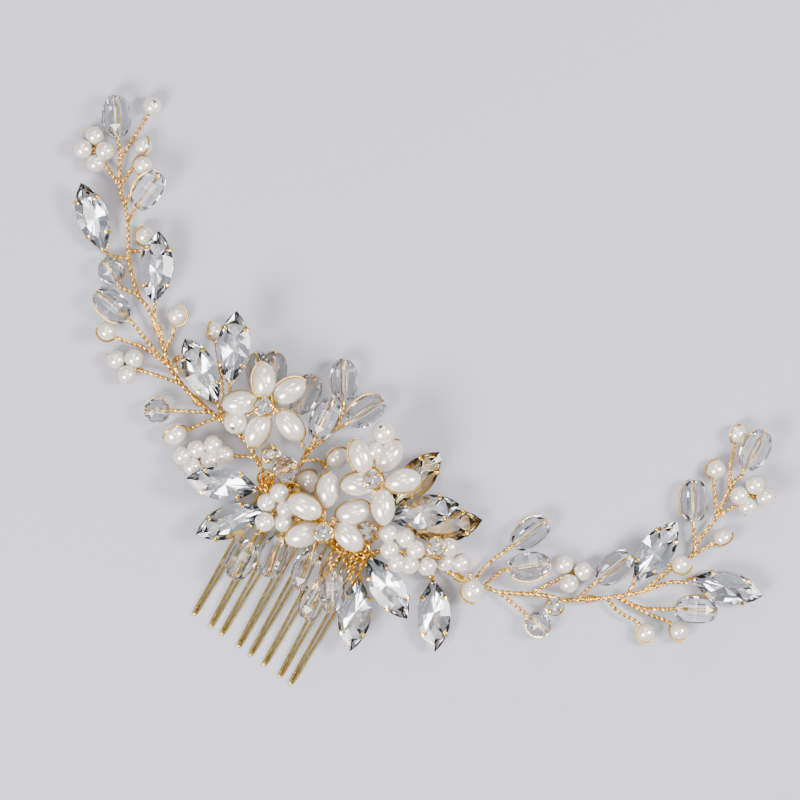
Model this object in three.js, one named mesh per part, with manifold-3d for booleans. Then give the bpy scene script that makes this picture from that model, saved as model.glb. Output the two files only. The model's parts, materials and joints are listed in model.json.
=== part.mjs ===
// A wired bridal hair comb: a bent-wire comb whose spine carries a spray of
// pearls, faceted crystals and claw-set stones on soft twisted-wire stems.
// Millimetres and degrees. The comb lies on its back, ornament up (+Z), with the
// origin in the middle of the spine's flat back and the long stem towards +X.
import * as THREE from 'three';
import { mergeVertices } from 'three/addons/utils/BufferGeometryUtils.js';
import Module from 'manifold-3d';

const wasm = await Module();
wasm.setup();

// ---------------------------------------------------------------- sizes

const clearance = 0.3; // between any two separate pieces
const tableLevel = -1.5; // what the comb lies on, below the spine's back

const tineCount = 8;
const tinePitch = 3.5;
const tineLength = 30;
const tineWire = 0.6;
const tineTopGap = 1.7; // between the two legs of a tine, at the spine
const tineTipGap = 0.9;
const tineSlant = 5.8; // the tines lean this far from square to the spine
const tipDrift = [0, 0.7, 0, 0.8, 0.3, 0.3, 0.8, 0]; // each tip's stray along the spine
const spineTurn = -35.8;
const spineHeight = 2.4;
const spineWidth = 3.4;
const spineWall = 0.6;
const bendReach = spineWidth * 0.18; // how far the bends between tines pass the spine's middle

const stemWire = 1.0; // a bundled main stem
const trunkWire = 1.8; // the bundle lashed along the spine
const twigWire = 0.7; // two fine wires twisted together
const pinWire = 0.4; // where it passes through a bead
const stemLevel = 0.5;
const trunkLevel = spineHeight + clearance + trunkWire / 2;

const pearl = 4;
const largePearl = 5;
const petal = { length: 7.5, width: 5 };
const hub = { width: 4, height: 0.8, drop: 1.2 }; // holds a flower's petals together
const oval = { length: 8.5, width: 6, end: 3 };
const rondelle = { length: 5.2, width: 5.5, end: 3 };
const bore = 1.1;
const navette = { length: 15, width: 7, cup: 1.5, crown: 1.6, prong: 0.8 };
const clawReach = navette.length * 0.24; // from a navette's middle to its claws
const chaton = { width: 4, cup: 2.2, crown: 1.2 };

const gold = { color: 0xd9a441, roughness: 0.25, metalness: 1 };
const dullGold = { color: 0xb89a55, roughness: 0.4, metalness: 1 };
const ivory = { color: 0xf3ece2, roughness: 0.3, metalness: 0 };
const glass = { color: 0xe9eef2, roughness: 0.05, metalness: 0 };
const peachGlass = { color: 0xe8c4a8, roughness: 0.05, metalness: 0 };
const foiled = { color: 0xd8dbe0, roughness: 0.1, metalness: 0.6 };

// ---------------------------------------------------------------- helpers

const radians = THREE.MathUtils.degToRad;
const point = (x, y, z) => new THREE.Vector3(x, y, z);
const heading = (turn) => point(Math.cos(radians(turn)), Math.sin(radians(turn)), 0);

function solid(geometry) {
  const bare = geometry.clone();
  bare.deleteAttribute('normal');
  bare.deleteAttribute('uv');
  const merged = mergeVertices(bare, 1e-3);
  return new wasm.Manifold(new wasm.Mesh({
    numProp: 3,
    vertProperties: new Float32Array(merged.attributes.position.array),
    triVerts: new Uint32Array(merged.index.array),
  }));
}

function geometryOf(manifold) {
  const mesh = manifold.getMesh();
  const geometry = new THREE.BufferGeometry();
  geometry.setAttribute('position', new THREE.BufferAttribute(mesh.vertProperties, 3));
  geometry.setIndex(new THREE.BufferAttribute(mesh.triVerts, 1));
  return geometry;
}

function join(geometries) {
  return geometryOf(geometries.map(solid).reduce((whole, next) => whole.add(next)));
}

function cut(geometry, tool) {
  return geometryOf(solid(geometry).subtract(solid(tool)));
}

const model = new THREE.Group();

function addNode(name, geometry, look, parent = model) {
  const mesh = new THREE.Mesh(geometry, new THREE.MeshStandardMaterial(look));
  mesh.name = name;
  parent.add(mesh);
  return mesh;
}

// A round wire along a smooth curve, with closed ends.
function wireAlong(curve, width, steps, sides = 5) {
  const section = new THREE.Shape();
  section.absarc(0, 0, width / 2, 0, Math.PI * 2);
  const corners = section.getSpacedPoints(sides).slice(0, sides);
  return new THREE.ExtrudeGeometry(new THREE.Shape(corners), { steps, extrudePath: curve });
}

const smooth = (points) => new THREE.CatmullRomCurve3(points, false, 'centripetal');

// ---------------------------------------------------------------- laying pieces down

// The spray is built up piece by piece. A grid seen from above keeps, for each cell,
// the spans of height already taken, and a new piece goes to the lowest free level.
// A piece's shape is given as blobs: ovals seen from above, each with its own height
// and its own rise over the piece's level, round on top or flat.
const gridStep = 0.25;
const gridWidth = 4096;
const taken = new Map();
const margin = clearance * 0.65;

function eachCell(blob, visit) {
  const reach = Math.max(blob.length, blob.width) / 2 + margin;
  const along = heading(blob.turn ?? 0);
  for (let i = Math.ceil((blob.x - reach) / gridStep); i * gridStep < blob.x + reach; i += 1) {
    for (let j = Math.ceil((blob.y - reach) / gridStep); j * gridStep < blob.y + reach; j += 1) {
      const dx = i * gridStep - blob.x;
      const dy = j * gridStep - blob.y;
      const u = (dx * along.x + dy * along.y) / (blob.length / 2 + margin);
      const v = (dy * along.x - dx * along.y) / (blob.width / 2 + margin);
      const spread = u * u + v * v;
      if (spread < 1) {
        const bulge = blob.flat ? 1 : Math.sqrt(1 - spread);
        visit(i * gridWidth + j, (blob.height / 2 + margin) * bulge);
      }
    }
  }
}

function mark(blob, level) {
  const middle = level + (blob.rise ?? 0);
  eachCell(blob, (cell, half) => {
    if (!taken.has(cell)) taken.set(cell, []);
    taken.get(cell).push([middle - half, middle + half]);
  });
}

// The lowest level, from a given one up, at which all of a piece's blobs are clear.
function rest(blobs, lowest = -Infinity) {
  let level = lowest;
  const blocked = [];
  for (const blob of blobs) {
    const rise = blob.rise ?? 0;
    eachCell(blob, (cell, half) => {
      level = Math.max(level, tableLevel - margin + half - rise);
      for (const [low, high] of taken.get(cell) ?? []) {
        blocked.push([low - half - rise, high + half - rise]);
      }
    });
  }
  blocked.sort((one, other) => one[0] - other[0]);
  for (const [low, high] of blocked) {
    if (low < level && high > level) level = high;
  }
  blobs.forEach((blob) => mark(blob, level));
  return level;
}

function markWire(curve, width) {
  const steps = Math.ceil(curve.getLength() / 0.4);
  for (const spot of curve.getSpacedPoints(steps)) {
    mark({ x: spot.x, y: spot.y, length: width, width, height: width }, spot.z);
  }
}

// ---------------------------------------------------------------- shapes of the pieces

function ball(width, length = width) {
  const shape = new THREE.SphereGeometry(width / 2, 8, 5);
  shape.rotateZ(-Math.PI / 2);
  shape.scale(length / width, 1, 1);
  return shape;
}

// A faceted bead along X, bored through for its wire.
function bead({ length, width, end }) {
  const half = length / 2;
  const profile = [
    [bore / 2, -half],
    [end / 2, -half],
    [width / 2, -half * 0.35],
    [width / 2, half * 0.35],
    [end / 2, half],
    [bore / 2, half],
    [bore / 2, -half],
  ].map(([radius, along]) => new THREE.Vector2(radius, along));
  return new THREE.LatheGeometry(profile, 8).rotateZ(-Math.PI / 2);
}

// The outline of a stone pointed at both ends: two equal arcs.
function navetteOutline(length, width) {
  const half = length / 2;
  const radius = (half * half + (width / 2) ** 2) / width;
  const sweep = Math.asin(half / radius);
  const outline = new THREE.Shape();
  outline.absarc(0, width / 2 - radius, radius, Math.PI / 2 + sweep, Math.PI / 2 - sweep, true);
  outline.absarc(0, radius - width / 2, radius, -Math.PI / 2 + sweep, -Math.PI / 2 - sweep, true);
  return outline;
}

// A navette stone set in its claw cup, along X, with its middle at the girdle.
function setNavette() {
  const { length, width, cup, crown, prong } = navette;
  const slab = (depth, bevel) => new THREE.ExtrudeGeometry(
    navetteOutline(length - bevel * 4, width - bevel * 2),
    { depth, bevelThickness: depth, bevelSize: bevel, bevelSegments: 1, curveSegments: 2 },
  );
  const stone = slab(crown / 2, 1).translate(0, 0, -crown / 4);
  const seat = new THREE.ExtrudeGeometry(
    navetteOutline(length - 1, width - 0.4),
    { depth: cup, bevelEnabled: false, curveSegments: 2 },
  ).translate(0, 0, -cup);
  const parts = [stone, seat];
  for (const side of [-1, 1]) {
    for (const across of [-1, 1]) {
      const claw = new THREE.BoxGeometry(prong, prong, cup + prong);
      claw.translate(side * clawReach, across * (width / 2 - prong), -cup / 2 + prong / 2);
      parts.push(claw);
    }
  }
  return join(parts);
}

// A round stone in its cup, standing on +Z, with its middle at the girdle.
function setChaton() {
  const { width, cup, crown } = chaton;
  const profile = [
    [0, -cup],
    [width * 0.2, -cup],
    [width / 2, -cup * 0.2],
    [width / 2, 0.2],
    [width * 0.3, crown],
    [0, crown],
  ].map(([radius, height]) => new THREE.Vector2(radius, height));
  return new THREE.LatheGeometry(profile, 10).rotateX(Math.PI / 2);
}

// ---------------------------------------------------------------- comb

const combFrame = new THREE.Group();
combFrame.rotation.z = radians(spineTurn);
model.add(combFrame);
const spineLength = (tineCount - 1) * tinePitch + tineTopGap;
const combLevel = spineHeight / 2;

// One wire bent to and fro: down a leg, round the tip, up, and over to the next.
function combPath() {
  const tipLevel = tableLevel + tineWire / 2;
  const lean = Math.tan(radians(tineSlant));
  const lower = (share) => combLevel + (tipLevel - combLevel) * share;
  const points = [];
  for (let tine = 0; tine < tineCount; tine += 1) {
    const middle = (tine - (tineCount - 1) / 2) * tinePitch;
    const along = (share, side) => {
      const gap = tineTopGap + (tineTipGap - tineTopGap) * share;
      const drift = tipDrift[tine] * share;
      return point(
        middle + side * gap / 2 + drift + tineLength * share * lean,
        -tineLength * share,
        lower(share),
      );
    };
    points.push(along(0, -1), along(0.35, -1), along(0.7, -1), along(0.97, -1));
    const tip = along(1, 0);
    tip.y -= tineTipGap * 0.2;
    points.push(tip);
    points.push(along(0.97, 1), along(0.7, 1), along(0.35, 1), along(0, 1));
    if (tine < tineCount - 1) {
      points.push(point(middle + tinePitch / 2, bendReach, combLevel));
    }
  }
  const path = smooth(points);
  path.getUtoTmapping = (share) => share; // so that evenly spaced samples fall on the bends
  return path;
}

const wirePath = combPath();
const combSteps = (wirePath.points.length - 1) * 2;
addNode('comb_wire', wireAlong(wirePath, tineWire, combSteps), dullGold, combFrame);

function spineBinding() {
  const length = spineLength + tineWire + 2 * (clearance + spineWall);
  const slotDepth = spineWidth / 2 + bendReach + tineWire / 2 + clearance;
  const outline = new THREE.Shape();
  const halfWidth = spineWidth / 2;
  const edge = spineHeight * 0.3;
  outline.moveTo(-halfWidth, edge);
  outline.lineTo(-halfWidth + edge, 0);
  outline.lineTo(halfWidth - edge, 0);
  outline.lineTo(halfWidth, edge);
  outline.lineTo(halfWidth, spineHeight - edge);
  outline.lineTo(halfWidth - edge, spineHeight);
  outline.lineTo(-halfWidth + edge, spineHeight);
  outline.lineTo(-halfWidth, spineHeight - edge);
  outline.closePath();
  const bar = new THREE.ExtrudeGeometry(outline, { depth: length, bevelEnabled: false, steps: 1 });
  bar.rotateX(Math.PI / 2).rotateZ(Math.PI / 2).translate(-length / 2, 0, 0);
  const slot = new THREE.BoxGeometry(
    spineLength + tineWire + 2 * clearance,
    slotDepth,
    tineWire + 2 * clearance,
  );
  slot.translate(0, slotDepth / 2 - halfWidth - 0.01, combLevel);
  return cut(bar, slot);
}

addNode('spine_binding', spineBinding(), gold, combFrame);

// The binding's top and the comb's wire are taken before anything is laid over them.
// The blob for the binding is an oval, so it is made a little larger than the bar.
const bindingTop = {
  x: 0,
  y: 0,
  turn: spineTurn,
  length: spineLength * 1.25,
  width: spineWidth * 1.4,
  height: 0,
  flat: true,
};
mark(bindingTop, spineHeight);
const uprightAxis = point(0, 0, 1);
const wireMarks = Math.ceil(wirePath.getLength() / tineWire) * 2;
for (const spot of wirePath.getSpacedPoints(wireMarks)) {
  const place = spot.applyAxisAngle(uprightAxis, radians(spineTurn));
  mark({ x: place.x, y: place.y, length: tineWire, width: tineWire, height: tineWire }, place.z);
}

// ---------------------------------------------------------------- stems

// Each stem's routes run along the table side of the spray; the first one is its
// main stem, and the others branch from it. A third number is a level of its own.
const stems = {
  stem_centre: {
    level: trunkLevel,
    routes: [
      [[-9.5, 7], [-4, 3], [2, -1.5], [9.5, -6.5]],
      [[-9.5, 7], [-11.5, 12], [-14.5, 17, 2.5], [-18.8, 20.5, 1.2], [-24, 24.8, stemLevel]],
      [[9.5, -6.5], [15.5, -6, 3], [22.5, -8, 1.5], [29, -11, stemLevel]],
      [[-4, 3], [-5.5, 9], [-3, 12], [-1.5, 14.5], [3.3, 18.5]],
    ],
  },
  stem_left: {
    level: stemLevel,
    routes: [[[-24.8, 25.5], [-27.2, 28], [-29.8, 31.6], [-31, 35], [-32.2, 39.2]]],
  },
  stem_left_tip: {
    level: stemLevel,
    routes: [[
      [-32.8, 40.4], [-34.8, 44.5], [-36.4, 46.6], [-37.6, 50.5], [-38.5, 54.6], [-38.7, 61.4],
      [-39.1, 64.8], [-40.3, 69], [-40.3, 74.8],
    ]],
  },
  stem_right: {
    level: stemLevel,
    routes: [[
      [30.3, -11.8], [31.7, -13], [34.5, -13.2], [38.2, -14.4], [46.6, -15], [51.1, -16], [56.1, -15.8],
    ]],
  },
  stem_right_tip: {
    level: stemLevel,
    routes: [
      [[57.1, -15.8], [59.5, -15.6], [65.1, -14.8], [68.5, -13.9], [72.9, -12.4], [76.5, -12.4]],
      [[67.5, -14.2], [73, -9.8], [77.4, -7], [78.7, -4.1], [82, 0.1], [83.5, 3], [86.2, 8.4]],
    ],
  },
};

for (const stem of Object.values(stems)) {
  const spots = (route) => route.map(([x, y, z = stem.level]) => point(x, y, z));
  stem.curves = stem.routes.map((route) => smooth(spots(route)));
  stem.curves.forEach((curve) => markWire(curve, stemWire));
  stem.solids = [];
}

function nearestOn(curves, x, y) {
  const spots = curves.flatMap((curve) => curve.getSpacedPoints(120));
  return spots.reduce((best, spot) => {
    const nearer = Math.hypot(spot.x - x, spot.y - y) < Math.hypot(best.x - x, best.y - y);
    return nearer ? spot : best;
  });
}

// ---------------------------------------------------------------- the spray's pieces

// Where each piece lies: its middle, the way it points (away from its stem), its
// stem, and the route of its twig from the stem. The order is from the table up.
const pieces = [];
const lie = (kind, name, stem, x, y, turn, twig, more = {}) => {
  pieces.push({ kind, name, stem, x, y, turn, twig, ...more });
};

// left tip
lie('oval', 'crystal_left_1', 'stem_left_tip', -40.9, 83.6, 94, [[-40.3, 74.8]]);
lie('pearl', 'left_1', 'stem_left_tip', -33.6, 85.8, 60, [[-39.8, 75.9]]);
lie('cluster', 'pearls_left_tip', 'stem_left_tip', -45.5, 76.8, 110, [[-40.6, 69.3]], {
  pearls: [[0, 2.9], [-2.4, 0.1], [2.2, -0.3], [0.2, -2.8]],
});
lie('pearl', 'left_2', 'stem_left_tip', -35.5, 77.5, 70, [[-40, 69.3]]);
lie('pearl', 'left_3', 'stem_left_tip', -35.5, 73.5, 70, [[-38.9, 65.4]]);
lie('oval', 'crystal_left_2', 'stem_left_tip', -34.3, 68.2, 55, [[-38.6, 61.7]]);
lie('navette', 'navette_left_1', 'stem_left_tip', -45.8, 62.9, 108, [[-38.5, 54.3]]);
lie('pearl', 'left_4', 'stem_left_tip', -35.2, 59.1, 90, [[-38.4, 56]]);
lie('navette', 'navette_left_2', 'stem_left_tip', -32.6, 52.5, 86, [[-33.4, 41.6]]);
lie('round', 'crystal_left_3', 'stem_left_tip', -42.2, 51.8, 120, [[-36.8, 46.8]]);
// left arm
lie('oval', 'crystal_left_4', 'stem_left', -41.8, 44.7, 139, [[-30, 32], [-34.5, 37.1]]);
lie('pearl', 'left_5', 'stem_left', -42.9, 39.3, 150, [[-30, 32], [-34.8, 35.6]]);
lie('pearl', 'left_6', 'stem_left', -28.6, 42.6, 80, [[-30.8, 35]]);
lie('cluster', 'pearls_left_arm', 'stem_left', -39.1, 32.3, 150, [[-27.6, 28.4], [-31.5, 29.9]], {
  pearls: [[-2, 1.2], [1.7, 1.4], [0.3, -1.9]],
});
lie('chaton', 'stone_left', 'stem_left', -27.6, 32.6, 150, []);

// the fringe under the spine, and the front flower over it
lie('oval', 'crystal_fringe_1', 'stem_centre', -15, -7.6, 243, [[-4, 3], [-9.5, -1]]);
lie('oval', 'crystal_fringe_2', 'stem_centre', -8.5, -6.9, 250, [[-2, 1.5]]);
lie('oval', 'crystal_fringe_3', 'stem_centre', -1.9, -9.8, 250, [[1, -0.8]]);
lie('pair', 'crystal_fringe_4', 'stem_centre', 3.4, -13.7, 272, [[3.5, -2.5], [3.6, -7.5]]);
lie('navette', 'navette_fringe_1', 'stem_centre', 8.1, -19.1, 262, [[6, -4.2], [7.8, -9.5]]);
lie('navette', 'navette_fringe_2', 'stem_centre', 14.9, -13.3, -58, [[9, -6]]);
lie('navette', 'navette_fringe_3', 'stem_centre', 24.4, -19.3, 271, [[21, -8.4], [23.4, -11.3, 1.5]]);
lie('navette', 'navette_centre_4', 'stem_centre', -17.6, 0.2, 200.5, [[-6, 4.5]]);
lie('navette', 'navette_centre_3', 'stem_centre', -19.1, 8.1, 172, [[-6.5, 5]]);
lie('cluster', 'pearls_centre_2', 'stem_centre', -7.9, 2.8, 200, [], {
  pearls: [[-1.9, 1.4], [0.6, 3.4], [-2.3, -2.5], [1.4, -2.6], [2, 0.1]],
});
lie('flower', 'flower_front', 'stem_centre', 1.8, -1.7, 0, [], {
  petals: [[8.5, 84, 82], [6.4, 126, 153, 2.5], [4.2, 188, 200], [7.3, 33, 15], [5.2, -11, -45]],
});
lie('chaton', 'stone_flower_front', 'stem_centre', 1.8, -1.7, 0, [], { on: 'flower_front' });
// over the left of the spine
lie('crystals', 'crystals_behind_flower', 'stem_centre', -9, 31.6, 90, [[-12.5, 14.5]]);
lie('round', 'crystal_centre_1', 'stem_centre', -32.6, 23, 180, [[-21.6, 22.6]]);
lie('pearl', 'centre_1', 'stem_centre', -29, 18.2, 200, [[-20.4, 21.4]], { width: largePearl });
lie('navette', 'navette_centre_1', 'stem_centre', -23.4, 31.2, 116, [[-19.5, 21]]);
lie('pearl', 'centre_2', 'stem_centre', -21, 39.3, 100, [[-18.8, 20.5], [-19.2, 28, 1.5]]);
lie('navette', 'navette_centre_2', 'stem_centre', -16.6, 36, 84.5, [[-16, 18.2], [-17.5, 24.5, 2]]);
lie('cluster', 'pearls_centre_1', 'stem_centre', -23.1, 13.8, 180, [[-12.3, 13.4]], {
  pearls: [[-4.3, -0.1], [-1.3, 1.3], [2.1, 2.2], [4.4, 0.2], [-2.2, -2.3], [1.5, -0.9]],
});
lie('chaton', 'stone_centre_1', 'stem_centre', -9.1, 14.1, 0, [], { level: 5 });
lie('round', 'crystal_champagne', 'stem_centre', -5.8, 11, 20, [], { level: 5 });
lie('pearl', 'centre_4', 'stem_centre', -1.6, 8.4, 40, [[-4.8, 6]], { width: largePearl });
// the fan above the spine
lie('oval', 'crystal_centre_2', 'stem_centre', 5.8, 29.2, 90, [[3.3, 18.5], [5.2, 21.5, 2.4]]);
lie('oval', 'crystal_centre_3', 'stem_centre', 10.4, 22.9, 33, [[3.3, 18.5]]);
lie('oval', 'crystal_centre_4', 'stem_centre', 1.9, 21.3, 64, [[-2, 13.8]]);
// over the right of the spine
lie('navette', 'navette_right_1', 'stem_centre', 27.1, -0.8, 10, [[16, -7], [18.5, -3.4, 2.2]]);
lie('navette', 'navette_right_3', 'stem_centre', 20.8, 9, 48, []);
lie('navette', 'navette_right_2', 'stem_centre', 22.4, 2.3, 12, []);
lie('cluster', 'pearls_centre_3', 'stem_centre', 21, -6.2, 0, [], {
  pearls: [
    [-5.9, 4.1], [-2.6, 3.2], [-5.7, 0.8], [-0.4, 0.8], [-1.6, -2.1],
    [1.9, -2.5, 2], [5.7, -1.8, 5], [9, -2, 6], [6.4, 1.3, 4], [-4.1, -1.9],
  ],
});
lie('chaton', 'stone_right_1', 'stem_centre', 24.8, -4.6, 0, [], { level: 3 });
lie('flower', 'flower_right', 'stem_centre', 11.9, 9.1, 0, [], {
  petals: [[5.2, 118, 108], [5.7, 54, 55], [6.1, -3, 8], [6, -70, -86], [3, 200, 186]],
  extra: [[9.7, 77, largePearl], [5.8, 85, pearl]],
  level: 5,
});
lie('pearl', 'centre_3', 'stem_centre', 4.4, 13.4, 40, [[-2.4, 12.8], [1, 12.8]], {
  width: largePearl,
});
lie('flower', 'flower_left', 'stem_centre', -10.4, 23.8, 0, [], {
  petals: [[5, 171, 185], [5.4, 90, 90], [6.1, 32, 30], [6.5, -36, -50], [4.9, 254, 242]],
  extra: [[6.6, 208, largePearl]],
  level: 5,
});
lie('chaton', 'stone_flower_left', 'stem_centre', -10.4, 23.8, 0, [], { on: 'flower_left' });
lie('chaton', 'stone_flower_right', 'stem_centre', 11.9, 9.1, 0, [], { on: 'flower_right' });
lie('chaton', 'stone_centre_2', 'stem_centre', 10.6, -1.6, 0, [], { level: 5 });

// right arm
lie('pearl', 'right_1', 'stem_right', 32.4, -14, 280, [[31.7, -13]], { width: largePearl });
lie('oval', 'crystal_right_1', 'stem_right', 44.2, -2.2, 36, [[32, -13], [35.5, -8.6]]);
lie('oval', 'crystal_right_2', 'stem_right', 44, -9, 8, [[34.6, -13.2]]);
lie('cluster', 'pearls_right_arm', 'stem_right', 53, -10.4, 40, [[44.1, -14.8]], {
  pearls: [[-1.7, 1.7], [2.2, 0.3], [-0.8, -2.2]],
});
lie('round', 'crystal_right_3', 'stem_right', 45.9, -21, 320, [[37.8, -14.2]]);
lie('chaton', 'stone_right_2', 'stem_right', 49.2, -17.2, 0, []);
lie('oval', 'crystal_right_4', 'stem_right', 61.5, -9.3, 38, [[53.8, -15.9]]);
// right tip
lie('navette', 'navette_tip_1', 'stem_right_tip', 69.9, -5.8, 55, [[64.3, -14.8]]);
lie('pearl', 'tip_1', 'stem_right_tip', 75.2, -8.6, 0, [[74, -9.2]]);
lie('pearl', 'tip_2', 'stem_right_tip', 84, -3.2, 30, [[77.4, -7]]);
lie('navette', 'navette_tip_2', 'stem_right_tip', 84.8, -13.4, -13.7, [[76.5, -12.4]]);
lie('oval', 'crystal_right_5', 'stem_right_tip', 78.1, -17.9, -3, [[61.9, -15.3], [67, -17.5]]);
lie('pearl', 'tip_3', 'stem_right_tip', 74.9, -22.4, 320, [[61.9, -15.3], [68, -18.6]]);
lie('pearl', 'tip_4', 'stem_right_tip', 68.1, -22.8, 310, [[59.8, -15.6], [62.5, -18.4]]);
lie('pearl', 'tip_5', 'stem_right_tip', 87, 18.3, 80, [[85.4, 6.6], [85.6, 12]]);
lie('oval', 'crystal_right_6', 'stem_right_tip', 90.4, 14.9, 62, [[86.2, 8.4]]);
lie('pearl', 'tip_6', 'stem_right_tip', 82.6, 10.9, 80, [[82.6, 1.2], [82.4, 5]]);
lie('oval', 'crystal_right_7', 'stem_right_tip', 77.9, 4.5, 90, [[78.2, -5.4]]);
lie('cluster', 'pearls_right_tip', 'stem_right_tip', 89.8, 5.4, 20, [[82.6, 1.2]], {
  pearls: [[-2.6, 0.1], [0.6, 2.3], [2.8, -0.1], [-0.8, -2.1]],
});

const pair = { x: -3.5, y: -1.9, turn: -30 }; // the second crystal of a pair, from the first
const behindFlower = [[-2.5, -1, 10], [0.2, -0.8, -8], [6.9, -5.2, -28]];

// The same piece as a set of blobs, for laying it down.
function blobsOf(piece) {
  const setStone = { height: 2.8, rise: -0.1, flat: true }; // a navette and its cup
  const { x, y, turn } = piece;
  const along = heading(turn);
  const at = (distance, blob) => ({
    x: x + along.x * distance,
    y: y + along.y * distance,
    turn,
    ...blob,
  });
  const beadBlobs = ({ length, width, end }) => [
    at(0, { length: length * 1.1, width, height: width }),
    at(length / 2 - end / 4, { length: end, width: end, height: end }),
    at(end / 4 - length / 2, { length: end, width: end, height: end }),
    at(-length / 2 - 1, { length: 2, width: twigWire, height: twigWire }),
    at(length / 2 + 0.6, { length: 1.2, width: 1, height: 1 }),
  ];
  const ballBlob = (width, spot = piece) => ({
    x: spot.x,
    y: spot.y,
    length: width,
    width,
    height: width,
  });
  switch (piece.kind) {
    case 'pearl':
      return [ballBlob(piece.width ?? pearl)];
    case 'oval':
      return beadBlobs(oval);
    case 'round':
      return beadBlobs(rondelle);
    case 'pair':
    case 'crystals':
      return memberBeads(piece).flatMap((member) => blobsOf({ ...member, kind: 'oval' }));
    case 'navette':
      return [
        at(0, { ...setStone, length: navette.length, width: navette.width * 0.8 }),
        at(0, { ...setStone, length: navette.length * 0.7, width: navette.width }),
        at(clawReach, { ...setStone, length: navette.prong * 2, width: navette.width }),
        at(-clawReach, { ...setStone, length: navette.prong * 2, width: navette.width }),
        at(-navette.length * 0.3, {
          length: navette.length * 0.5,
          width: twigWire,
          height: twigWire * 2,
          rise: -navette.cup - clearance - twigWire / 2,
        }),
      ];
    case 'chaton':
      return [at(0, { length: chaton.width, width: chaton.width, height: 4.6 })];
    case 'cluster':
      return clusterSpots(piece).map((spot) => ({ ...ballBlob(pearl, spot), rise: spot.z }));
    default:
      return [
        { ...ballBlob(hub.width), height: hub.height, rise: -hub.drop, flat: true },
        ...petalSpots(piece).map((spot) => ({
          ...spot, length: petal.length, width: petal.width, height: petal.width,
        })),
        ...extraSpots(piece).map((spot) => ballBlob(spot.width, spot)),
      ];
  }
}

function memberBeads(piece) {
  if (piece.kind === 'pair') {
    return [piece, { x: piece.x + pair.x, y: piece.y + pair.y, turn: piece.turn + pair.turn }];
  }
  return behindFlower.map(([x, y, turn]) => ({
    x: piece.x + x,
    y: piece.y + y,
    turn: piece.turn + turn,
  }));
}

// A cluster's pearls: steps from its middle, and how far a pearl hangs below the others.
function clusterSpots({ x, y, pearls }) {
  const spread = pearl / 4;
  const stagger = pearl * 0.15;
  return pearls.map(([dx, dy, fall = 0], index) => (
    point(x + dx * spread, y + dy * spread, (index % 3) * stagger - fall * spread)
  ));
}

const petalSpots = ({ x, y, petals = [] }) => petals.map(([distance, bearing, turn, rise = 0]) => {
  const way = heading(bearing);
  return { x: x + way.x * distance, y: y + way.y * distance, turn, rise };
});

const extraSpots = ({ x, y, extra = [] }) => extra.map(([distance, bearing, width]) => {
  const way = heading(bearing);
  return { x: x + way.x * distance, y: y + way.y * distance, width, rise: 0 };
});

// First the twigs' level runs are marked, and then every piece is laid down in turn.
for (const piece of pieces) {
  const { curves, level } = stems[piece.stem];
  if (piece.twig.length > 0) {
    const [[startX, startY], ...via] = piece.twig;
    piece.run = [nearestOn(curves, startX, startY), ...via.map(([x, y, z = level]) => point(x, y, z))];
    if (piece.run.length > 1) markWire(smooth(piece.run), twigWire);
  }
}
for (const piece of pieces) {
  const under = pieces.find((other) => other.name === piece.on);
  piece.z = rest(blobsOf(piece), under ? under.z : piece.level);
  if (piece.run) {
    piece.path = smooth(twigPoints(piece));
    markWire(piece.path, twigWire);
  }
}

// The whole route of a twig: its level run, then up to its piece and through or under it.
function twigPoints(piece) {
  const { kind, x, y, z, turn, run } = piece;
  const along = (distance, drop = 0) => (
    heading(turn).multiplyScalar(distance).add(point(x, y, z - drop))
  );
  switch (kind) {
    case 'oval':
    case 'pair':
    case 'crystals':
      return [...run, along(-oval.length / 2 - 1.2), along(-oval.length / 2)];
    case 'round':
      return [...run, along(-rondelle.length / 2 - 1.2), along(-rondelle.length / 2)];
    case 'navette': {
      const drop = navette.cup + clearance + twigWire / 2;
      return [...run, along(-navette.length / 2, drop), along(-navette.length / 8, drop)];
    }
    case 'cluster':
      return [...run, along(0, 0)];
    default:
      return [...run, along(0)];
  }
}

// ---------------------------------------------------------------- building the pieces

const turned = (shape, { x, y, z, turn = 0 }) => shape.rotateZ(radians(turn)).translate(x, y, z);

function twigOf(piece) {
  return wireAlong(piece.path, twigWire, Math.ceil(piece.path.points.length * 1.5));
}

// A cluster's own twig, which starts a clearance off the stem that it hangs on.
function stalkOf({ path }) {
  const gap = stemWire / 2 + twigWire / 2 + clearance;
  const spots = path.getSpacedPoints(24);
  const free = spots.filter((spot) => spot.distanceTo(spots[0]) > gap);
  return wireAlong(smooth(free), twigWire, 5);
}

// The fine wire that holds a bead: through its bore, to a small turned-back end.
function pinOf({ x, y, z, turn }, length) {
  const reach = length / 2 + clearance + 0.5;
  const pin = new THREE.CylinderGeometry(pinWire / 2, pinWire / 2, length / 2 + reach + 0.3, 6);
  pin.rotateZ(-Math.PI / 2).translate((reach - length / 2 - 0.3) / 2, 0, 0);
  const end = new THREE.CylinderGeometry(0.6, 0.4, 0.6, 6).rotateZ(-Math.PI / 2).translate(reach, 0, 0);
  return [turned(pin, { x, y, z, turn }), turned(end, { x, y, z, turn })];
}

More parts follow.
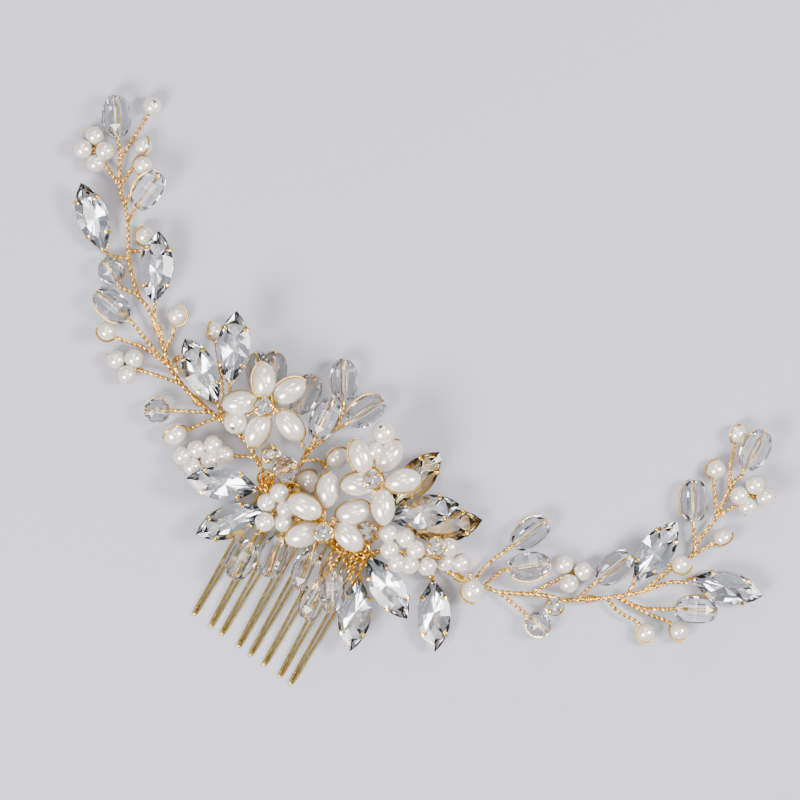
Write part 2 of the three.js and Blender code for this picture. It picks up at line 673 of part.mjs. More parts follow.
for (const piece of pieces) {
  const { kind, name, x, y, z, turn } = piece;
  const own = stems[piece.stem].solids;
  const place = { x, y, z, turn };
  if (kind === 'pearl') {
    own.push(turned(ball(piece.width ?? pearl), place));
    if (piece.path) own.push(twigOf(piece));
  } else if (kind === 'oval' || kind === 'round') {
    const size = kind === 'oval' ? oval : rondelle;
    addNode(name, turned(bead(size), place), name.includes('champagne') ? peachGlass : glass);
    if (piece.path) own.push(twigOf(piece), ...pinOf(place, size.length));
  } else if (kind === 'pair' || kind === 'crystals') {
    const members = memberBeads(piece);
    const link = smooth(members.map((member) => point(member.x, member.y, z)));
    const beads = members.map((member) => turned(bead(oval), { ...member, z }));
    addNode(name, join([...beads, wireAlong(link, twigWire, 4)]), glass);
  } else if (kind === 'navette') {
    addNode(name, turned(setNavette(), place), foiled);
    if (piece.path) own.push(twigOf(piece));
  } else if (kind === 'chaton') {
    addNode(name, turned(setChaton(), place), foiled);
  } else if (kind === 'cluster') {
    const hubSpot = point(x, y, z);
    const parts = clusterSpots(piece).flatMap((spot) => {
      const middle = spot.add(point(0, 0, z));
      const branch = smooth([hubSpot, middle]);
      return [ball(pearl).translate(middle.x, middle.y, middle.z), wireAlong(branch, twigWire, 1)];
    });
    parts.push(ball(twigWire * 2.2).translate(x, y, z));
    if (piece.path) parts.push(stalkOf(piece));
    addNode(name, join(parts), ivory);
  } else {
    const disc = new THREE.CylinderGeometry(hub.width / 2, hub.width / 2, hub.height, 12);
    const parts = [disc.rotateX(Math.PI / 2).translate(x, y, z - hub.drop)];
    const hold = (spot) => {
      const middle = point(spot.x, spot.y, z + spot.rise);
      const branch = smooth([point(x, y, z - hub.drop), middle]);
      parts.push(wireAlong(branch, twigWire, 1));
    };
    for (const spot of petalSpots(piece)) {
      parts.push(turned(ball(petal.width, petal.length), { ...spot, z: z + spot.rise }));
      hold(spot);
    }
    for (const spot of extraSpots(piece)) {
      parts.push(ball(spot.width).translate(spot.x, spot.y, z));
      hold(spot);
    }
    addNode(name, join(parts), ivory);
  }
}

for (const [name, stem] of Object.entries(stems)) {
  const widthOf = (index) => (name === 'stem_centre' && index === 0 ? trunkWire : stemWire);
  const mains = stem.curves.map((curve, index) => (
    wireAlong(curve, widthOf(index), curve.points.length * 2)
  ));
  addNode(name, join([...mains, ...stem.solids]), gold);
}

export default model;
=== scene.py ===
import bpy
import json
import math
import random
from mathutils import Matrix, Vector
from mathutils.bvhtree import BVHTree


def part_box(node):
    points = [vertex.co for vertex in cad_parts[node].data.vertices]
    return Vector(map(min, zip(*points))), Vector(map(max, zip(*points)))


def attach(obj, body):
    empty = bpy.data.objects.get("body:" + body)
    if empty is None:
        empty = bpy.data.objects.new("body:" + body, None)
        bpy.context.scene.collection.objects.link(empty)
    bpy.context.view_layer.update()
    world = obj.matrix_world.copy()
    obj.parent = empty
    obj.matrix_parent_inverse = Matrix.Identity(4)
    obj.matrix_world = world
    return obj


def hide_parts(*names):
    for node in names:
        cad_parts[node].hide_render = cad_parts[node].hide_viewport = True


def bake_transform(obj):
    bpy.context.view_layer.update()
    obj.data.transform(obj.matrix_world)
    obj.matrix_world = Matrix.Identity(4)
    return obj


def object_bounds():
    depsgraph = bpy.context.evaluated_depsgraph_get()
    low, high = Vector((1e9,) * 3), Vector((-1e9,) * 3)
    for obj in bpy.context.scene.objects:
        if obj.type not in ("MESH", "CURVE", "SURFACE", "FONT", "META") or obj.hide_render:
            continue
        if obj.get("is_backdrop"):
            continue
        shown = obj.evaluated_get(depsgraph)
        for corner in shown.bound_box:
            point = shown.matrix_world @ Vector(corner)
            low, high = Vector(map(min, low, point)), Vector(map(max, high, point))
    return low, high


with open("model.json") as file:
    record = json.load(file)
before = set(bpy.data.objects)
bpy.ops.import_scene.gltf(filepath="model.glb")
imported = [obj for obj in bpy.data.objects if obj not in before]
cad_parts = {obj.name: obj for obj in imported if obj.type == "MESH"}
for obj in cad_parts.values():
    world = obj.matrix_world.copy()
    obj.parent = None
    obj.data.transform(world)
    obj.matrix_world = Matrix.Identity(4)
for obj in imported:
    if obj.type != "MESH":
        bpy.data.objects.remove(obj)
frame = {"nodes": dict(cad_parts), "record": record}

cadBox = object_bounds()
mm = 0.001
chance = random.Random(7)


def sine(degrees):
    return math.sin(math.radians(degrees))


def cosine(degrees):
    return math.cos(math.radians(degrees))


record = frame["record"]
bodyOf = {node: body for body, group in record["behaviour"]["bodies"].items() for node in group}
print("frame loaded:", len(frame["nodes"]), "nodes")


# the finishes

def newMaterial(name):
    material = bpy.data.materials.new(name)
    material.use_nodes = True
    tree = material.node_tree
    return material, tree.nodes, tree.links, tree.nodes["Principled BSDF"]


def setSockets(node, values):
    for socket, value in values.items():
        node.inputs[socket].default_value = value


def addNoise(nodes, links, scale, detail=3.0):
    place = nodes.new("ShaderNodeTexCoord")
    noise = nodes.new("ShaderNodeTexNoise")
    setSockets(noise, {"Scale": scale, "Detail": detail})
    links.new(place.outputs["Object"], noise.inputs["Vector"])
    return noise


def addRamp(nodes, links, source, stops):
    ramp = nodes.new("ShaderNodeValToRGB")
    while len(ramp.color_ramp.elements) < len(stops):
        ramp.color_ramp.elements.new(0.5)
    for element, (position, colour) in zip(ramp.color_ramp.elements, stops):
        element.position = position
        element.color = (*colour, 1)
    links.new(source, ramp.inputs["Fac"])
    return ramp


def addBump(nodes, links, height, shader, strength, distance):
    bump = nodes.new("ShaderNodeBump")
    setSockets(bump, {"Strength": strength, "Distance": distance})
    links.new(height, bump.inputs["Height"])
    links.new(bump.outputs["Normal"], shader.inputs["Normal"])


def makeGold(name, dark, light, rough):
    # drawn wire: faint streaks of tone, and a roughness that wanders
    material, nodes, links, shader = newMaterial(name)
    tone = addNoise(nodes, links, 900)
    ramp = addRamp(nodes, links, tone.outputs["Fac"], [(0.3, dark), (0.7, light)])
    links.new(ramp.outputs["Color"], shader.inputs["Base Color"])
    shader.inputs["Metallic"].default_value = 1.0
    wear = addNoise(nodes, links, 2600, 2)
    spread = nodes.new("ShaderNodeMapRange")
    setSockets(spread, {"To Min": rough * 0.7, "To Max": rough * 1.5})
    links.new(wear.outputs["Fac"], spread.inputs["Value"])
    links.new(spread.outputs["Result"], shader.inputs["Roughness"])
    addBump(nodes, links, wear.outputs["Fac"], shader, 0.12, 0.00002)
    return material


pearlGloss = {
    "Metallic": 0.4, "Roughness": 0.24, "IOR": 1.6, "Coat Weight": 1.0, "Coat IOR": 1.8,
    "Coat Roughness": 0.1, "Thin Film Thickness": 420, "Thin Film IOR": 1.45,
}


def makePearl(name, deep, pale, rim):
    # pearl coating: a soft body, with painted shade that turns it darker and warmer towards its edge, a clear
    # coat, a thin film's faint colours
    material, nodes, links, shader = newMaterial(name)
    cloud = addNoise(nodes, links, 260, 2)
    body = addRamp(nodes, links, cloud.outputs["Fac"], [(0.3, deep), (0.7, pale)])
    rimShadeMask = nodes.new("ShaderNodeLayerWeight")
    setSockets(rimShadeMask, {"Blend": 0.32})
    # painted shade: where the surface turns away from the view, the body colour is mixed towards the darker,
    # warmer rim colour
    edge = nodes.new("ShaderNodeMix")
    edge.data_type = "RGBA"
    setSockets(edge, {"B": (*rim, 1)})
    links.new(rimShadeMask.outputs["Facing"], edge.inputs["Factor"])
    links.new(body.outputs["Color"], edge.inputs["A"])
    links.new(edge.outputs["Result"], shader.inputs["Base Color"])
    setSockets(shader, pearlGloss)
    wave = addNoise(nodes, links, 700, 1)
    addBump(nodes, links, wave.outputs["Fac"], shader, 0.1, 0.00006)
    return material


def makeGlass(name, tint, rough, ior):
    material, nodes, links, shader = newMaterial(name)
    cloud = addNoise(nodes, links, 180, 1)
    faint = tuple(channel * 0.97 for channel in tint)
    ramp = addRamp(nodes, links, cloud.outputs["Fac"], [(0.35, faint), (0.65, tint)])
    links.new(ramp.outputs["Color"], shader.inputs["Base Color"])
    setSockets(shader, {"Transmission Weight": 1.0, "Roughness": rough, "IOR": ior})
    scuff = addNoise(nodes, links, 1500, 2)
    addBump(nodes, links, scuff.outputs["Fac"], shader, 0.02, 0.00002)
    return material


def makeFoil(name, deep, pale):
    # silvered back of a set stone, with a faint mottle
    material, nodes, links, shader = newMaterial(name)
    cloud = addNoise(nodes, links, 500, 2)
    ramp = addRamp(nodes, links, cloud.outputs["Fac"], [(0.3, deep), (0.7, pale)])
    links.new(ramp.outputs["Color"], shader.inputs["Base Color"])
    setSockets(shader, {"Metallic": 1.0, "Roughness": 0.09})
    return material


brightGold = makeGold("bright_gold", (0.62, 0.31, 0.03), (0.92, 0.60, 0.12), 0.2)
paleGold = makeGold("pale_gold", (0.40, 0.27, 0.06), (0.62, 0.43, 0.12), 0.2)
cupGold = makeGold("cup_gold", (0.70, 0.38, 0.06), (0.95, 0.65, 0.17), 0.17)
# the third colour of each pearl finish is painted shade that darkens the bead towards its rim
pearlCoat = makePearl("pearl_coat", (0.64, 0.58, 0.535), (0.76, 0.69, 0.62), (0.62, 0.49, 0.34))
petalCoat = makePearl("petal_coat", (0.63, 0.57, 0.525), (0.75, 0.68, 0.61), (0.62, 0.49, 0.35))
clearGlass = makeGlass("clear_crystal", (0.99, 0.99, 1.0), 0.0, 1.52)
crownGlass = makeGlass("stone_crown", (0.985, 0.99, 1.0), 0.0, 1.47)
champagneGlass = makeGlass("champagne_crystal", (1.0, 0.93, 0.87), 0.03, 1.54)
stoneFoil = makeFoil("stone_foil", (0.94, 0.95, 0.97), (1.0, 1.0, 1.0))
warmFoil = makeFoil("warm_foil", (0.80, 0.55, 0.22), (0.98, 0.86, 0.60))
print("materials made")


# small helpers for editing, placing and joining

def leaveEdit():
    bpy.ops.object.mode_set(mode="OBJECT")


def clearSelection():
    if bpy.context.object and bpy.context.object.mode != "OBJECT":
        leaveEdit()
    bpy.ops.object.select_all(action="DESELECT")


def workOn(piece):
    clearSelection()
    piece.select_set(True)
    bpy.context.view_layer.objects.active = piece


def pick(piece, kind, test):
    # selects faces, edges or verts by place, and leaves edit mode on
    bpy.ops.object.mode_set(mode="EDIT")
    bpy.ops.mesh.select_mode(type=kind)
    bpy.ops.mesh.select_all(action="DESELECT")
    leaveEdit()
    mesh = piece.data
    rows = {"FACE": mesh.polygons, "EDGE": mesh.edges, "VERT": mesh.vertices}[kind]
    for row in rows:
        row.select = bool(test(row))
    bpy.ops.object.mode_set(mode="EDIT")


def pickTop(piece):
    pick(piece, "FACE", lambda face: face.normal.z > 0.9)


def pickBottom(piece):
    pick(piece, "FACE", lambda face: face.normal.z < -0.9)


def extrude(x, y, z):
    # pulls new walls out of the selected faces, in millimetres
    bpy.ops.mesh.extrude_region_move(TRANSFORM_OT_translate={"value": (x * mm, y * mm, z * mm)})


def resizeAll(x, y):
    # about the origin, along X and Y
    bpy.ops.transform.resize(value=(x, y, 1), center_override=(0, 0, 0))


def rotateAll(angle, axis):
    # about the origin, in radians
    bpy.ops.transform.rotate(value=angle, orient_axis=axis, center_override=(0, 0, 0))


def applyAll(piece):
    workOn(piece)
    bpy.ops.object.transform_apply(location=True, rotation=True, scale=True)


def smoothShade(piece, degrees=40):
    workOn(piece)
    bpy.ops.object.shade_smooth_by_angle(angle=math.radians(degrees))


def flatShade(piece):
    workOn(piece)
    bpy.ops.object.shade_flat()


def coat(piece, *materials):
    piece.data.materials.clear()
    for material in materials:
        piece.data.materials.append(material)


def addModifier(piece, kind, **settings):
    workOn(piece)
    modifier = piece.modifiers.new(kind.lower(), kind)
    for key, value in settings.items():
        setattr(modifier, key, value)
    bpy.ops.object.modifier_apply(modifier=modifier.name)


def turned(degrees, axis):
    return Matrix.Rotation(math.radians(degrees), 4, axis)


def place(x, y, z, turn=0.0, tilt=0.0, roll=0.0):
    # millimetres and degrees: roll about its own length, tilt its far end up, then turn
    spin = turned(turn, "Z") @ turned(-tilt, "Y") @ turned(roll, "X")
    return Matrix.Translation(Vector((x, y, z)) * mm) @ spin


def copyOf(template, name, matrix):
    piece = template.copy()
    piece.data = template.data.copy()
    piece.name = name
    piece.hide_render = False
    piece.data.transform(matrix)
    bpy.context.scene.collection.objects.link(piece)
    return piece


def joined(name, pieces):
    clearSelection()
    for piece in pieces:
        piece.select_set(True)
    bpy.context.view_layer.objects.active = pieces[0]
    if len(pieces) > 1:
        bpy.ops.object.join()
    pieces[0].name = name
    return pieces[0]


def finishPiece(piece, node):
    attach(piece, bodyOf[node])
    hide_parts(node)
    return piece


def rideOn(piece, node):
    # for a piece that has no node of its own
    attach(piece, bodyOf[node])


templates = []


def keepTemplate(piece):
    piece.hide_render = True
    templates.append(piece)
    return piece


def boxCentre(node):
    low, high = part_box(node)
    return (low + high) / 2 / mm


cadTrees = {}
# where a height is asked for, and the places beside it that are tried where nothing lies under it
probes = [(0, 0), (0.2, 0), (-0.2, 0), (0, 0.2), (0, -0.2), (0.4, 0.4), (-0.4, -0.4)]
bareHeight = 2.5


def topOf(node, x, y):
    # height of a CAD node's upper side at a place seen from above, in millimetres
    if node not in cadTrees:
        mesh = frame["nodes"][node].data
        corners = [vertex.co.copy() for vertex in mesh.vertices]
        cadTrees[node] = BVHTree.FromPolygons(corners, [face.vertices[:] for face in mesh.polygons])
    for dx, dy in probes:
        eye = Vector(((x + dx) * mm, (y + dy) * mm, 0.1))
        hit = cadTrees[node].ray_cast(eye, Vector((0, 0, -1)))
        if hit[0] is not None:
            return hit[0].z / mm
    print("nothing under", node, x, y)
    return bareHeight


# wire: routes, twists and windings

def smoothRoute(points, step):
    # a smooth curve through the points, as evenly spaced places
    knots = [Vector(point) for point in points]
    if len(knots) == 2:
        knots.insert(1, (knots[0] + knots[1]) / 2)
    ends = [knots[0] * 2 - knots[1]] + knots + [knots[-1] * 2 - knots[-2]]
    dense = []
    between = 16  # places worked out from one knot to the next
    for a, b, c, d in zip(ends, ends[1:], ends[2:], ends[3:]):
        bow = a * 2 - b * 5 + c * 4 - d
        swing = b * 3 - a - c * 3 + d
        for i in range(between):
            t = i / between
            dense.append((b * 2 + (c - a) * t + bow * t * t + swing * t ** 3) / 2)
    dense.append(knots[-1])
    route = [dense[0]]
    walked = 0.0
    for before, after in zip(dense, dense[1:]):
        span = (after - before).length
        while span > 0 and walked + span >= step:
            before = before.lerp(after, (step - walked) / span)
            route.append(before)
            span = (after - before).length
            walked = 0.0
        walked += span
    if (route[-1] - knots[-1]).length > step * 0.3:
        route.append(knots[-1])
    return route


def sidewaysAlong(route):
    # a steady pair of sideways directions at each place on a route
    pairs = []
    side = None
    for i, spot in enumerate(route):
        ahead = (route[min(i + 1, len(route) - 1)] - route[max(i - 1, 0)]).normalized()
        if side is None:
            side = ahead.orthogonal().normalized()
        side = (side - ahead * side.dot(ahead)).normalized()
        pairs.append((side.copy(), ahead.cross(side)))
    return pairs


def twisted(points, width, pitch, strands=2, phase=0.0):
    # strands wound round each other along a route: [(points, strand radius)]
    strand = width * 0.215
    offset = width / 2 - strand
    around = 8  # places to a turn
    route = smoothRoute(points, pitch / around)
    pairs = sidewaysAlong(route)
    runs = []
    for k in range(strands):
        run = []
        for i, (spot, (side, rise)) in enumerate(zip(route, pairs)):
            angle = phase + math.tau * (i / around + k / strands)
            run.append(spot + side * (math.cos(angle) * offset) + rise * (math.sin(angle) * offset))
        runs.append((run, strand))
    return runs


def coiled(points, width, wire, pitch, squash=1.0, wander=0.0):
    # a close winding of one wire round a route
    around = 12  # places to a turn
    route = smoothRoute(points, pitch / around)
    run = []
    for i, (spot, (side, rise)) in enumerate(zip(route, sidewaysAlong(route))):
        angle = math.tau * i / around
        reach = width / 2 * (1 + wander * math.sin(i * 0.37) * math.sin(i * 0.053 + 1))
        run.append(spot + side * (math.cos(angle) * reach) + rise * (math.sin(angle) * reach * squash))
    return [(run, wire / 2)]


def tangle(middle, radius, height, turns, wire, seed):
    # one length of fine wire wound loosely round and over itself
    dice = random.Random(seed)
    points = []
    around = 10  # places to a turn
    lean = dice.uniform(0, math.tau)
    for i in range(turns * around):
        angle = math.tau * i / around
        lean += 0.11 + dice.uniform(-0.02, 0.05)
        reach = radius * (0.72 + 0.28 * math.sin(i * 0.31 + seed))
        course = angle + lean * 0.3
        bob = math.sin(angle + lean) * height
        points.append(middle + Vector((math.cos(course) * reach, math.sin(course) * reach, bob)))
    return smoothRoute(points, 0.3), wire / 2


def wirePiece(name, runs, material, sides=1):
    curve = bpy.data.curves.new(name, "CURVE")
    curve.dimensions = "3D"
    curve.bevel_depth = mm
    curve.bevel_resolution = sides
    curve.use_fill_caps = True
    for points, radius in runs:
        spline = curve.splines.new("POLY")
        spline.points.add(len(points) - 1)
        for knot, point in zip(spline.points, points):
            knot.co = (*(Vector(point) * mm), 1)
            knot.radius = radius
    piece = bpy.data.objects.new(name, curve)
    bpy.context.scene.collection.objects.link(piece)
    workOn(piece)
    bpy.ops.object.convert(target="MESH")
    piece = bpy.context.object
    coat(piece, material)
    smoothShade(piece, 60)
    return piece


# one of each bead and stone, lying along X with its middle at the origin

def makePearlBead(name, width, length, hole, finish):
    # a ball with its two poles opened and joined by a drilled bore: rings lie 10 degrees apart
    clearSelection()
    bpy.ops.mesh.primitive_uv_sphere_add(segments=28, ring_count=18, radius=width / 2 * mm)
    bead = bpy.context.object
    bead.name = name
    cap = width / 2 * mm * cosine(15)
    rim = width / 2 * mm * cosine(11)
    pick(bead, "FACE", lambda face: abs(face.center.z) > cap)
    bpy.ops.mesh.delete(type="FACE")
    pick(bead, "EDGE", lambda edge: all(abs(bead.data.vertices[v].co.z) > rim for v in edge.vertices))
    shrink = hole / 2 / (width / 2 * sine(10))
    bpy.ops.transform.resize(value=(shrink, shrink, 1))
    bpy.ops.mesh.bridge_edge_loops()
    bpy.ops.mesh.select_all(action="SELECT")
    rotateAll(math.pi / 2, "Y")
    bpy.ops.transform.resize(value=(length / width, 1, 1), center_override=(0, 0, 0))
    leaveEdit()
    applyAll(bead)
    coat(bead, finish)
    smoothShade(bead, 50)
    return keepTemplate(bead)


# rings from the middle of a cut bead to its end: share of the half length, share of the half width,
# and whether the ring is turned half a side from the one before
ovalRings = [(0.42, 0.945, False), (0.8, 0.71, True), (1.0, 0.46, True)]
roundRings = [(0.3, 0.93, True), (0.7, 0.74, True), (1.0, 0.45, True)]


def makeCutBead(name, length, width, hole, sides, glass, rings):
    # where a ring is turned, the facets that lead to it are triangles
    clearSelection()
    girdle = 0.01  # half the straight part round its middle
    bpy.ops.mesh.primitive_cylinder_add(vertices=sides, radius=width / 2 * mm, depth=girdle * 2 * mm)
    bead = bpy.context.object
    bead.name = name
    for direction in (1, -1):
        at, before = girdle, 1.0
        for share, wide, halfTurned in rings:
            level = at * direction * mm
            reach = length / 2 * share
            pick(bead, "FACE", lambda face: abs(face.center.z - level) < 1e-7 and abs(face.normal.z) > 0.9)
            extrude(0, 0, (reach - at) * direction)
            resizeAll(wide / before, wide / before)
            if halfTurned:
                rotateAll(math.pi / sides, "Z")
            at, before = reach, wide
    end = rings[-1][1] * width
    tips = length / 2 * mm - 1e-6
    pick(bead, "FACE", lambda face: abs(face.center.z) > tips)
    bpy.ops.mesh.inset(thickness=(end - hole) / 2 * mm, use_even_offset=True)
    bpy.ops.mesh.bridge_edge_loops()
    bpy.ops.mesh.select_all(action="SELECT")
    bpy.ops.mesh.quads_convert_to_tris(quad_method="SHORTEST_DIAGONAL")
    rotateAll(math.pi / 2, "Y")
    leaveEdit()
    applyAll(bead)
    coat(bead, glass)
    flatShade(bead)
    return keepTemplate(bead)


def lensBlock(name, length, width, depth, sides):
    # the shape shared by two equal discs, laid half across each other: pointed at both ends
    half = length / 2
    radius = (half * half + width * width / 4) / width
    discs = []
    for side in (1, -1):
        clearSelection()
        centre = (0, side * (radius - width / 2) * mm, 0)
        bpy.ops.mesh.primitive_cylinder_add(
            vertices=sides, radius=radius * mm, depth=depth * mm, location=centre)
        discs.append(bpy.context.object)
        applyAll(discs[-1])
    block, tool = discs
    addModifier(block, "BOOLEAN", operation="INTERSECT", object=tool, solver="EXACT")
    clearSelection()
    tool.select_set(True)
    bpy.ops.object.delete()
    block.name = name
    return block


stoneCut = {
    "length": 14.9, "width": 6.9, "girdle": 0.3, "rise": 0.72, "table": (0.60, 0.40), "depth": 0.85,
    "sides": 28,
}


def makeNavetteStone():
    cut = stoneCut
    stone = lensBlock("navette_stone", cut["length"], cut["width"], cut["girdle"], cut["sides"])
    top = cut["girdle"] / 2 * mm
    pickTop(stone)
    extrude(0, 0, cut["rise"])
    resizeAll(*cut["table"])
    pickBottom(stone)
    bpy.ops.mesh.poke(offset=cut["depth"] * mm)
    leaveEdit()
    coat(stone, crownGlass, stoneFoil)
    for face in stone.data.polygons:
        face.material_index = 1 if face.center.z < -top * 1.01 else 0
    flatShade(stone)
    return keepTemplate(stone)


cupCut = {
    "length": 12.6, "width": 5.5, "top": -0.62, "bottom": -1.5, "wall": 0.3, "sides": 72,
    "foot": (0.93, 0.8), "hole": (0.8, 0.7), "claw": 0.8, "clawAt": 3.9, "hook": 1.1,
}


def makeNavetteCup():
    cut = cupCut
    depth = cut["top"] - cut["bottom"]
    cup = lensBlock("navette_cup", cut["length"], cut["width"], depth, cut["sides"])
    workOn(cup)
    pickBottom(cup)
    resizeAll(*cut["foot"])
    extrude(0, 0, 0)
    resizeAll(*cut["hole"])
    bpy.ops.mesh.delete(type="FACE")
    pickTop(cup)
    bpy.ops.mesh.delete(type="FACE")
    leaveEdit()
    cup.data.transform(Matrix.Translation((0, 0, (cut["top"] + cut["bottom"]) / 2 * mm)))
    addModifier(cup, "SOLIDIFY", thickness=cut["wall"] * mm, offset=-1)
    parts = [cup]
    for side in (-1, 1):
        for across in (-1, 1):
            parts.append(makeClaw(side * cut["clawAt"], across, cut, stoneCut))
    cup = joined("navette_cup", parts)
    coat(cup, cupGold)
    smoothShade(cup, 35)
    return keepTemplate(cup)


clawLook = {
    "thick": 0.35, "flare": 0.85, "bend": 0.3, "bendRise": 0.35, "hookRise": 0.22, "edge": 0.09, "gap": 0.1,
}


def makeClaw(along, across, cut, stone):
    # a tab that slopes out from the foot of the cup and is bent over the stone's edge
    half = stone["length"] / 2
    arc = (half * half + stone["width"] ** 2 / 4) / stone["width"]
    edge = math.sqrt(arc * arc - along * along) - (arc - stone["width"] / 2)
    lean = math.atan2(-along, arc)
    clearSelection()
    bpy.ops.mesh.primitive_cube_add(size=1)
    claw = bpy.context.object
    height = 0.2 - cut["bottom"]
    claw.data.transform(Matrix.Diagonal((cut["claw"] * mm, clawLook["thick"] * mm, height * mm, 1)))
    top = claw.data.vertices[0].co.z * -1
    pickBottom(claw)
    bpy.ops.transform.translate(value=(0, -clawLook["flare"] * mm, 0))
    pickTop(claw)
    extrude(0, -clawLook["bend"], clawLook["bendRise"])
    bpy.ops.transform.resize(value=(0.9, 0.9, 1))
    extrude(0, -cut["hook"] * 0.6, clawLook["hookRise"])
    bpy.ops.transform.resize(value=(0.7, 0.7, 1))
    leaveEdit()
    claw.data.transform(Matrix.Translation((0, 0, cut["bottom"] * mm + top)))
    addModifier(claw, "BEVEL", width=clawLook["edge"] * mm, segments=2)
    turn = Matrix.Rotation(lean, 4, "Z")
    if across < 0:
        turn = Matrix.Rotation(math.pi - lean, 4, "Z")
    claw.data.transform(Matrix.Translation((along * mm, across * (edge + clawLook["gap"]) * mm, 0)) @ turn)
    return claw


chatonCut = {
    "length": 3.7, "width": 3.7, "waist": 0.82, "table": 1.7, "rise": 0.95, "girdle": 0.2, "depth": 0.85,
    "sides": 6,
}


def makeChatonStone():
    # brilliant cut: the table is turned half a facet from the girdle
    cut = chatonCut
    clearSelection()
    bpy.ops.mesh.primitive_cylinder_add(
        vertices=cut["sides"] * 2, radius=cut["width"] / 2 * mm, depth=cut["girdle"] * mm)
    stone = bpy.context.object
    top = cut["girdle"] / 2 * mm
    pickTop(stone)
    extrude(0, 0, cut["rise"] * 0.45)
    resizeAll(cut["waist"], cut["waist"])
    turn = math.pi / cut["sides"] / 2
    rotateAll(turn, "Z")
    extrude(0, 0, cut["rise"] * 0.55)
    share = cut["table"] / (cut["width"] * cut["waist"])
    resizeAll(share, share)
    rotateAll(turn, "Z")
    pickBottom(stone)
    bpy.ops.mesh.poke(offset=cut["depth"] * mm)
    bpy.ops.mesh.select_all(action="SELECT")
    bpy.ops.mesh.quads_convert_to_tris()
    leaveEdit()
    stone.name = "chaton_stone"
    coat(stone, crownGlass, stoneFoil)
    for face in stone.data.polygons:
        face.material_index = 1 if face.center.z < -top * 0.5 else 0
    flatShade(stone)
    return keepTemplate(stone)


chatonCupCut = {
    "foot": 0.9, "lip": 2.0, "height": 2.0, "middle": -0.95, "wall": 0.2, "claws": 4,
    "claw": 0.6, "bottom": -0.9, "hook": 0.8,
}


def makeChatonCup():
    cut = chatonCupCut
    clearSelection()
    bpy.ops.mesh.primitive_cone_add(
        vertices=28, radius1=cut["foot"] * mm, radius2=cut["lip"] * mm, depth=cut["height"] * mm,
        location=(0, 0, cut["middle"] * mm))
    cup = bpy.context.object
    applyAll(cup)
    pickTop(cup)
    bpy.ops.mesh.delete(type="FACE")
    leaveEdit()
    addModifier(cup, "SOLIDIFY", thickness=cut["wall"] * mm, offset=-1)
    parts = [cup]
    for k in range(cut["claws"]):
        claw = makeClaw(0, 1, cut, chatonCut)
        claw.data.transform(turned(45 + 90 * k, "Z"))
        parts.append(claw)
    cup = joined("chaton_cup", parts)
    coat(cup, cupGold)
    smoothShade(cup, 35)
    return keepTemplate(cup)


# length and width of each bead
pearlSize, bigPearlSize = 4, 5
petalLength, petalWidth = 7.5, 5
ovalLength, ovalWidth = 8.5, 6
roundLength, roundWidth = 5.2, 5.5
smallPearl = makePearlBead("pearl_4", pearlSize, pearlSize, 0.75, pearlCoat)
bigPearl = makePearlBead("pearl_5", bigPearlSize, bigPearlSize, 0.85, pearlCoat)
petalBead = makePearlBead("petal", petalWidth, petalLength, 0.8, petalCoat)
ovalBead = makeCutBead("oval_crystal", ovalLength, ovalWidth, 1.0, 8, clearGlass, ovalRings)
roundBead = makeCutBead("round_crystal", roundLength, roundWidth, 1.0, 10, clearGlass, roundRings)
peachBead = makeCutBead("peach_crystal", roundLength, roundWidth, 1.0, 10, champagneGlass, roundRings)
navetteStone = makeNavetteStone()
navetteCup = makeNavetteCup()
chatonStone = makeChatonStone()
chatonCup = makeChatonCup()
print("templates made:", len(templates))


# the stems' routes, in millimetres
low = 0.5
trunk = 3.6
stemRoutes = {
    "stem_centre": [
        [(-9.5, 7, trunk), (-4, 3, trunk), (2, -1.5, trunk), (9.5, -6.5, trunk)],
        [(-9.5, 7, trunk), (-11.5, 12, trunk), (-14.5, 17, 2.5), (-18.8, 20.5, 1.2), (-24, 24.8, low)],
        [(9.5, -6.5, trunk), (15.5, -6, 3), (22.5, -8, 1.5), (29, -11, low)],
        [(-4, 3, trunk), (-5.5, 9, trunk), (-3, 12, trunk), (-1.5, 14.5, trunk), (3.3, 18.5, trunk)],
    ],
    "stem_left": [[
        (-24.8, 25.5, low), (-27.2, 28, low), (-29.8, 31.6, low), (-31, 35, low), (-32.2, 39.2, low),
    ]],
    "stem_left_tip": [[
        (-32.8, 40.4, low), (-34.8, 44.5, low), (-36.4, 46.6, low), (-37.6, 50.5, low), (-38.5, 54.6, low),
        (-38.7, 61.4, low), (-39.1, 64.8, low), (-40.3, 69, low), (-40.3, 74.8, low),
    ]],
    "stem_right": [[
        (30.3, -11.8, low), (31.7, -13, low), (34.5, -13.2, low), (38.2, -14.4, low), (46.6, -15, low),
        (51.1, -16, low), (56.1, -15.8, low),
    ]],
    "stem_right_tip": [
        [(57.1, -15.8, low), (59.5, -15.6, low), (65.1, -14.8, low), (68.5, -13.9, low), (72.9, -12.4, low),
         (76.5, -12.4, low)],
        [(67.5, -14.2, low), (73, -9.8, low), (77.4, -7, low), (78.7, -4.1, low), (82, 0.1, low),
         (83.5, 3, low), (86.2, 8.4, low)],
    ],
}
stemLevel = {name: (trunk if name == "stem_centre" else low) for name in stemRoutes}
stemPaths = {name: [smoothRoute(route, 0.4) for route in routes] for name, routes in stemRoutes.items()}
stemRuns = {name: [] for name in stemRoutes}
stemPearls = {name: [] for name in stemRoutes}


def nearestOn(stem, x, y):
    spots = [spot for path in stemPaths[stem] for spot in path]
    return min(spots, key=lambda spot: math.hypot(spot.x - x, spot.y - y)).copy()


def ahead(turn, distance):
    return Vector((cosine(turn), sine(turn), 0)) * distance


def twigRun(stem, twig):
    # the level part of a twig: from the stem, by way of its bends
    if not twig:
        return []
    start = nearestOn(stem, *twig[0][:2])
    return [start] + [Vector((*bend, stemLevel[stem])[:3]) for bend in twig[1:]]


